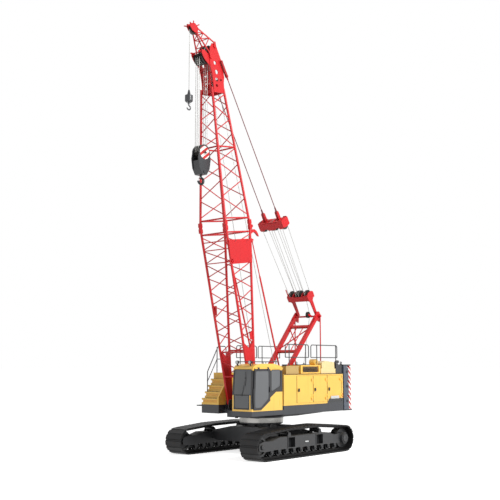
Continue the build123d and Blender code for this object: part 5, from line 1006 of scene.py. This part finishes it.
# drip rail along the top edge, rubber between the panels, and buffers against the counterweight
rubber = {"rearX": -3.195, "frontX": 0.625, "railProud": 0.007, "stripProud": 0.004, "stripHalf": 0.009,
          "bufferX": (-3.272, -3.206), "bufferHalf": 1.1, "bufferHeight": 0.05, "bufferLevels": (1.90, 2.30, 2.70)}
outer, edge, proud, half = house["outerY"], house["doorEdges"][0], rubber["stripProud"], rubber["stripHalf"]
seals = [addBlock(at(rubber["rearX"] + 0.005, outer - 0.012, house["topZ"] - 0.024),
                  at(rubber["frontX"] - 0.005, outer + rubber["railProud"], house["topZ"] + 0.004), 0.003)]
strip = addBlock(at(edge - half, outer - 0.004, house["doorLow"]), at(edge + half, outer + proud, house["doorHigh"]),
                 0.002)
seals += repeatAt(strip, [(edge, 0, 0) for edge in house["doorEdges"]])
strip = addBlock(at(rubber["frontX"] - 0.008, outer - 0.012, 1.84), at(rubber["frontX"] + 0.004, outer + proud, 2.94),
                 0.002)
seals += repeatAt(strip, [(rubber["frontX"], 0, 0), (rubber["rearX"], 0, 0)])
(rear, front), low = rubber["bufferX"], rubber["bufferLevels"][0]
buffer = addBlock(at(rear, -rubber["bufferHalf"], low),
                  at(front, rubber["bufferHalf"], low + rubber["bufferHeight"]), 0.006)
seals += repeatAt(buffer, [(0, 0, z) for z in rubber["bufferLevels"]])
finish(seals, "houseSeals", "rubber", "upper")

# roof: round caps, lifting eyes, screws on the boxes and blades in the filter box
roof = {"caps": ((0.15, 1.25, 3.26, 0.05), (-3.0, 1.25, 3.31, 0.05), (0.55, -1.35, 3.0, 0.08)),
        "eyes": (0.45, -0.46, -1.76, -2.77), "eyeY": 0.83, "eyeSize": 0.075,
        "screws": ((-0.30, 3.26), (0.36, 3.26), (-0.56, 3.285), (-1.66, 3.285), (-1.86, 3.15), (-2.68, 3.15)),
        "screwRows": (1.07, 1.48), "screwAcross": 0.018, "screwHeight": 0.006,
        "blades": 6, "bladeX": (-1.60, -0.63), "bladeY": (1.545, 1.566), "bladeLow": 3.045, "bladeStep": 0.034,
        "bladeThickness": 0.006, "bladeDrop": 0.018}
caps = []
for x, y, z, size in roof["caps"]:
    cap = addTube(at(x, y, z - 0.003), at(x, y, z + size * 0.6), size, 28)
    caps.append(bevelled(stepFaces(cap, (0, 0, 1), [(size * 0.25, size * 0.25)]), size * 0.06))
finish(caps, "fillerCaps", "plastic", "upper")
eye = addLiftingEye(at(roof["eyes"][0], roof["eyeY"], house["topZ"]), roof["eyeSize"])
finish(repeatAt(eye, [(x, 0, 0) for x in roof["eyes"]]), "roofLiftingEyes", "yellow", "upper")
spots = [at(x, y, z) for x, z in roof["screws"] for y in roof["screwRows"]]
finish(addNuts(spots, (0, 0, 1), roof["screwAcross"], roof["screwHeight"]), "roofScrews", "darkBolt", "upper")
(rear, front), (near, far), z = roof["bladeX"], roof["bladeY"], roof["bladeLow"]
blade = addBlock(at(rear, near, z), at(front, far, z + roof["bladeThickness"]))
selectFaces(blade, lambda centre, normal: normal.y > 0.9)
bpy.ops.transform.translate(value=(0, 0, -roof["bladeDrop"]))
deselect()
blades = repeatAt(bevelled(blade, 0.0015), [(0, 0, number * roof["bladeStep"]) for number in range(roof["blades"])])
finish(blades, "roofLouvres", "darkFrame", "upper")

# blank plate and two reflectors at the rear end of the house
tail = {"plateX": (-2.87, -2.31), "plateZ": (1.98, 2.09), "reflectorX": -3.15, "reflectorZ": 2.05,
        "reflectorStep": 0.09, "reflectorRadius": 0.030, "reflectorDepth": 0.008}
(rear, front), (low, high) = tail["plateX"], tail["plateZ"]
finish(addBlock(at(rear, house["doorFace"] - 0.003, low), at(front, house["doorFace"] + 0.001, high), 0.001),
       "houseSignPlate", "paleSign", "house_door_3")
reflector = addCup(at(tail["reflectorX"], house["outerY"] - 0.002, tail["reflectorZ"]), (0, 1, 0),
                   tail["reflectorRadius"], tail["reflectorDepth"])
finish(repeatAt(reflector, [(0, 0, 0), (0, 0, tail["reflectorStep"])]), "rearReflectors", "reflector", "upper")

# counterweight: lifting lugs and tie-bar heads on the top slab, and a dished plug at each slab's side
stack = {"half": 1.59, "slabTops": (2.15, 2.73, 3.31), "lugX": (-3.45, -3.72), "lugY": 1.15, "lugSize": 0.12,
         "tieX": -3.55, "tieY": 0.62, "tieNut": (0.075, 0.045), "tieCup": (0.095, 0.012), "plugX": -3.50,
         "plugDrop": 0.29, "plug": (0.055, 0.014)}      # nuts by width and height, cups by radius and depth
top = stack["slabTops"][2]
spots = [at(x, y, top) for x in stack["lugX"] for y in (-stack["lugY"], stack["lugY"])]
finish(repeatAt(addLiftingEye(spots[0], stack["lugSize"]), spots), "counterweightLugs", "winchGrey", "upper")
spots = [at(stack["tieX"], y, top) for y in (-stack["tieY"], stack["tieY"])]
heads = addNuts(spots, (0, 0, 1), *stack["tieNut"])
heads += repeatAt(addCup(spots[0] - Vector((0, 0, 0.002)), (0, 0, 1), *stack["tieCup"]), spots)
for side in (-1, 1):
    spots = [at(stack["plugX"], side * (stack["half"] - 0.002), z - stack["plugDrop"]) for z in stack["slabTops"]]
    heads += repeatAt(addCup(spots[0], (0, side, 0), *stack["plug"]), spots)
finish(heads, "counterweightTieBars", "darkBolt", "upper")

# steps over the tank: a ribbed tread plate on each, with a nosing strip at its front
stairs = {"frontX": 1.63, "run": 0.165, "sillZ": 1.80, "rise": 0.24, "count": 4, "outerY": -1.60, "innerY": -0.80,
          "ribs": 12, "ribPitch": 0.0483, "ribHeight": 0.005}
front, z = stairs["frontX"], stairs["sillZ"] + stairs["rise"]
tread = addBlock(at(front - stairs["run"] + 0.012, stairs["outerY"] + 0.02, z - 0.002),
                 at(front - 0.006, stairs["innerY"], z + 0.004))
edit(tread)
bpy.ops.mesh.subdivide(number_cuts=stairs["ribs"] - 1)
selectFaces(tread, lambda centre, normal: normal.z > 0.9 and int((centre.y + 3) / stairs["ribPitch"]) % 2)
bpy.ops.mesh.extrude_region_move(TRANSFORM_OT_translate={"value": (0, 0, stairs["ribHeight"])})
nosing = addBlock(at(front - 0.030, stairs["outerY"] + 0.004, z - 0.002),
                  at(front - 0.002, stairs["innerY"], z + 0.010), 0.003)
spots = [(-stairs["run"] * number, 0, stairs["rise"] * number) for number in range(stairs["count"])]
finish(repeatAt(merge([tread, nosing]), spots), "stairTreads", "darkRail", "upper")
print("house dressed")

# boom and hooks: nuts of the board, and heads of the block's pin with the bolts of its keeper plates
board = {"face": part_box("sign_board")[1].y - 0.001, "rows": (5.24, 6.02), "half": 0.34, "nut": (0.026, 0.012)}
spots = [onBoom(t, way * board["half"], board["face"]) for t in board["rows"] for way in (-1, 1)]
finish(addNuts(spots, (0, 1, 0), *board["nut"]), "boardNuts", "darkBolt", "boom")
block = {"face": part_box("hook_block")[1].y, "pinHead": (0.085, 0.030), "boltRing": 0.085, "bolts": 6,
         "bolt": (0.020, 0.009)}
heads = []
for side in (-1, 1):
    heads.append(addHexNut((blockPin.x, side * (block["face"] - 0.002), blockPin.z), (0, side, 0),
                           *block["pinHead"]))
    spots = ringSpots((blockPin.x, side * (block["face"] - 0.004), blockPin.z), block["boltRing"], block["bolts"])
    heads += addNuts(spots, (0, side, 0), *block["bolt"])
finish(heads, "blockPinHeads", "darkBolt", "main_block")

# safety latch over the main hook's mouth: a tapered plate on a pin, with a spring coil round it
latch = {"width": 0.040, "thickness": 0.006, "narrowing": 0.55, "coils": 5, "pivotX": 0.045, "pivotDrop": 0.115,
         "tipBack": 0.035, "tipRise": 0.020}
mainLow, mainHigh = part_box("main_hook")
pivot = Vector((blockPin.x + latch["pivotX"], 0, mainHigh.z - latch["pivotDrop"]))
tip = Vector((mainHigh.x - latch["tipBack"], 0, (mainLow.z + mainHigh.z) / 2 + latch["tipRise"]))
along = (tip - pivot).normalized()
wide, thick = latch["width"], latch["thickness"]
deselect()
bpy.ops.mesh.primitive_cube_add(size=1, location=(pivot + tip) / 2, rotation=facing(along),
                                scale=(thick, wide, (tip - pivot).length))
plate = settle(bpy.context.object)
shapeEnd(plate, along, (1, latch["narrowing"], 1))
pin = addTube(pivot - Vector((0, wide * 0.75, 0)), pivot + Vector((0, wide * 0.75, 0)), thick * 1.3, 14, 0.002)
spring = addCoils(pivot - Vector((0, wide * 0.62, 0)), thick * 1.9, thick * 0.4, thick * 0.9, latch["coils"])
finish([bevelled(plate, thick * 0.2), pin, spring], "mainHookLatch", "pin", "main_block")

# bolts under the round weight over the small hook
weight = {"boltRing": 0.060, "boltRise": 0.245, "bolts": 6, "bolt": (0.016, 0.008)}
tipLow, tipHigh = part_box("tip_hook")
spots = ringSpots(((tipLow.x + tipHigh.x) / 2, 0, tipLow.z + weight["boltRise"]), weight["boltRing"], weight["bolts"],
                  flat=True)
finish(addNuts(spots, (0, 0, -1), *weight["bolt"]), "tipWeightBolts", "darkBolt", "tip_hook")
print("boom and hooks dressed")

# floor, background, lamps and camera
studio = {"floorSize": 900.0, "floorGlow": 0.74, "worldLight": 0.34, "lampSize": 9, "lampAim": (0, 0, 5),
          "lamps": {"keyLamp": ((2, 24, 17), 7200.0), "fillLamp": ((24, -4, 14), 900.0)}}


def seenDirectly(add):
    # 1 for what the camera sees straight, in a mirror or through glass
    rays = add("LightPath", out=None).outputs
    seen = add("Math", (rays["Is Camera Ray"], rays["Is Glossy Ray"]), operation="MAXIMUM")
    return add("Math", (seen, rays["Is Transmission Ray"]), operation="MAXIMUM")


def turnToward(thing, direction):
    thing.rotation_mode = "QUATERNION"
    thing.rotation_quaternion = Vector(direction).to_track_quat("-Z", "Y")


# pale vinyl studio floor: it lights up evenly to the eye, and only the shade of the object stays on it
deselect()
bpy.ops.mesh.primitive_plane_add(size=studio["floorSize"], location=(0, 0, cadLow.z - 0.001))
floor = bpy.context.object
floor.name = "studioFloor"
material, add, place = newMaterial("paleStudioFloor")
speckle = add("TexNoise", {"Vector": place, "Scale": 0.4, "Detail": 2.0})
tone = add("Mix", {0: speckle, 6: linear("#E9E9E9"), 7: linear("#EDEDED")}, 2, data_type="RGBA")
strength = add("Math", (seenDirectly(add), studio["floorGlow"]), operation="MULTIPLY")
glow = add("Emission", {"Color": (1, 1, 1, 1), "Strength": strength})
surface = add("AddShader", (add("BsdfDiffuse", {"Color": tone}), glow))
floor.data.materials.append(closeMaterial(material, add, surface, (0.9, 0.9, 0.9, 1)))

world = bpy.data.worlds.new("whiteStudio")
bpy.context.scene.world = world
add = emptyTree(world)
strength = add("Math", (seenDirectly(add), 1.0 - studio["worldLight"], studio["worldLight"]), operation="MULTIPLY_ADD")
add("OutputWorld", {"Surface": add("Background", {"Color": (1, 1, 1, 1), "Strength": strength})}, None)

for name, (spot, power) in studio["lamps"].items():
    bpy.ops.object.light_add(type="AREA", location=spot)
    light = bpy.context.object
    light.name = name
    light.data.size, light.data.energy = studio["lampSize"], power
    turnToward(light, Vector(studio["lampAim"]) - Vector(spot))

viewpoint = {"spot": (24.84 + slewX, 20.84, 3.339), "yaw": 0.7114, "pitch": 0.136, "lens": 59.85, "sensor": 36.0,
             "farClip": 2000.0}
bpy.ops.object.camera_add(location=viewpoint["spot"])
camera = bpy.context.object
camera.name = "studioCamera"
camera.data.lens, camera.data.sensor_width = viewpoint["lens"], viewpoint["sensor"]
camera.data.clip_end = viewpoint["farClip"]
yaw, pitch = viewpoint["yaw"], viewpoint["pitch"]
turnToward(camera, (-cos(yaw) * cos(pitch), -sin(yaw) * cos(pitch), sin(pitch)))
bpy.context.scene.camera = camera
bpy.context.scene.view_settings.view_transform = "Standard"
print("stage, lamps and camera set")
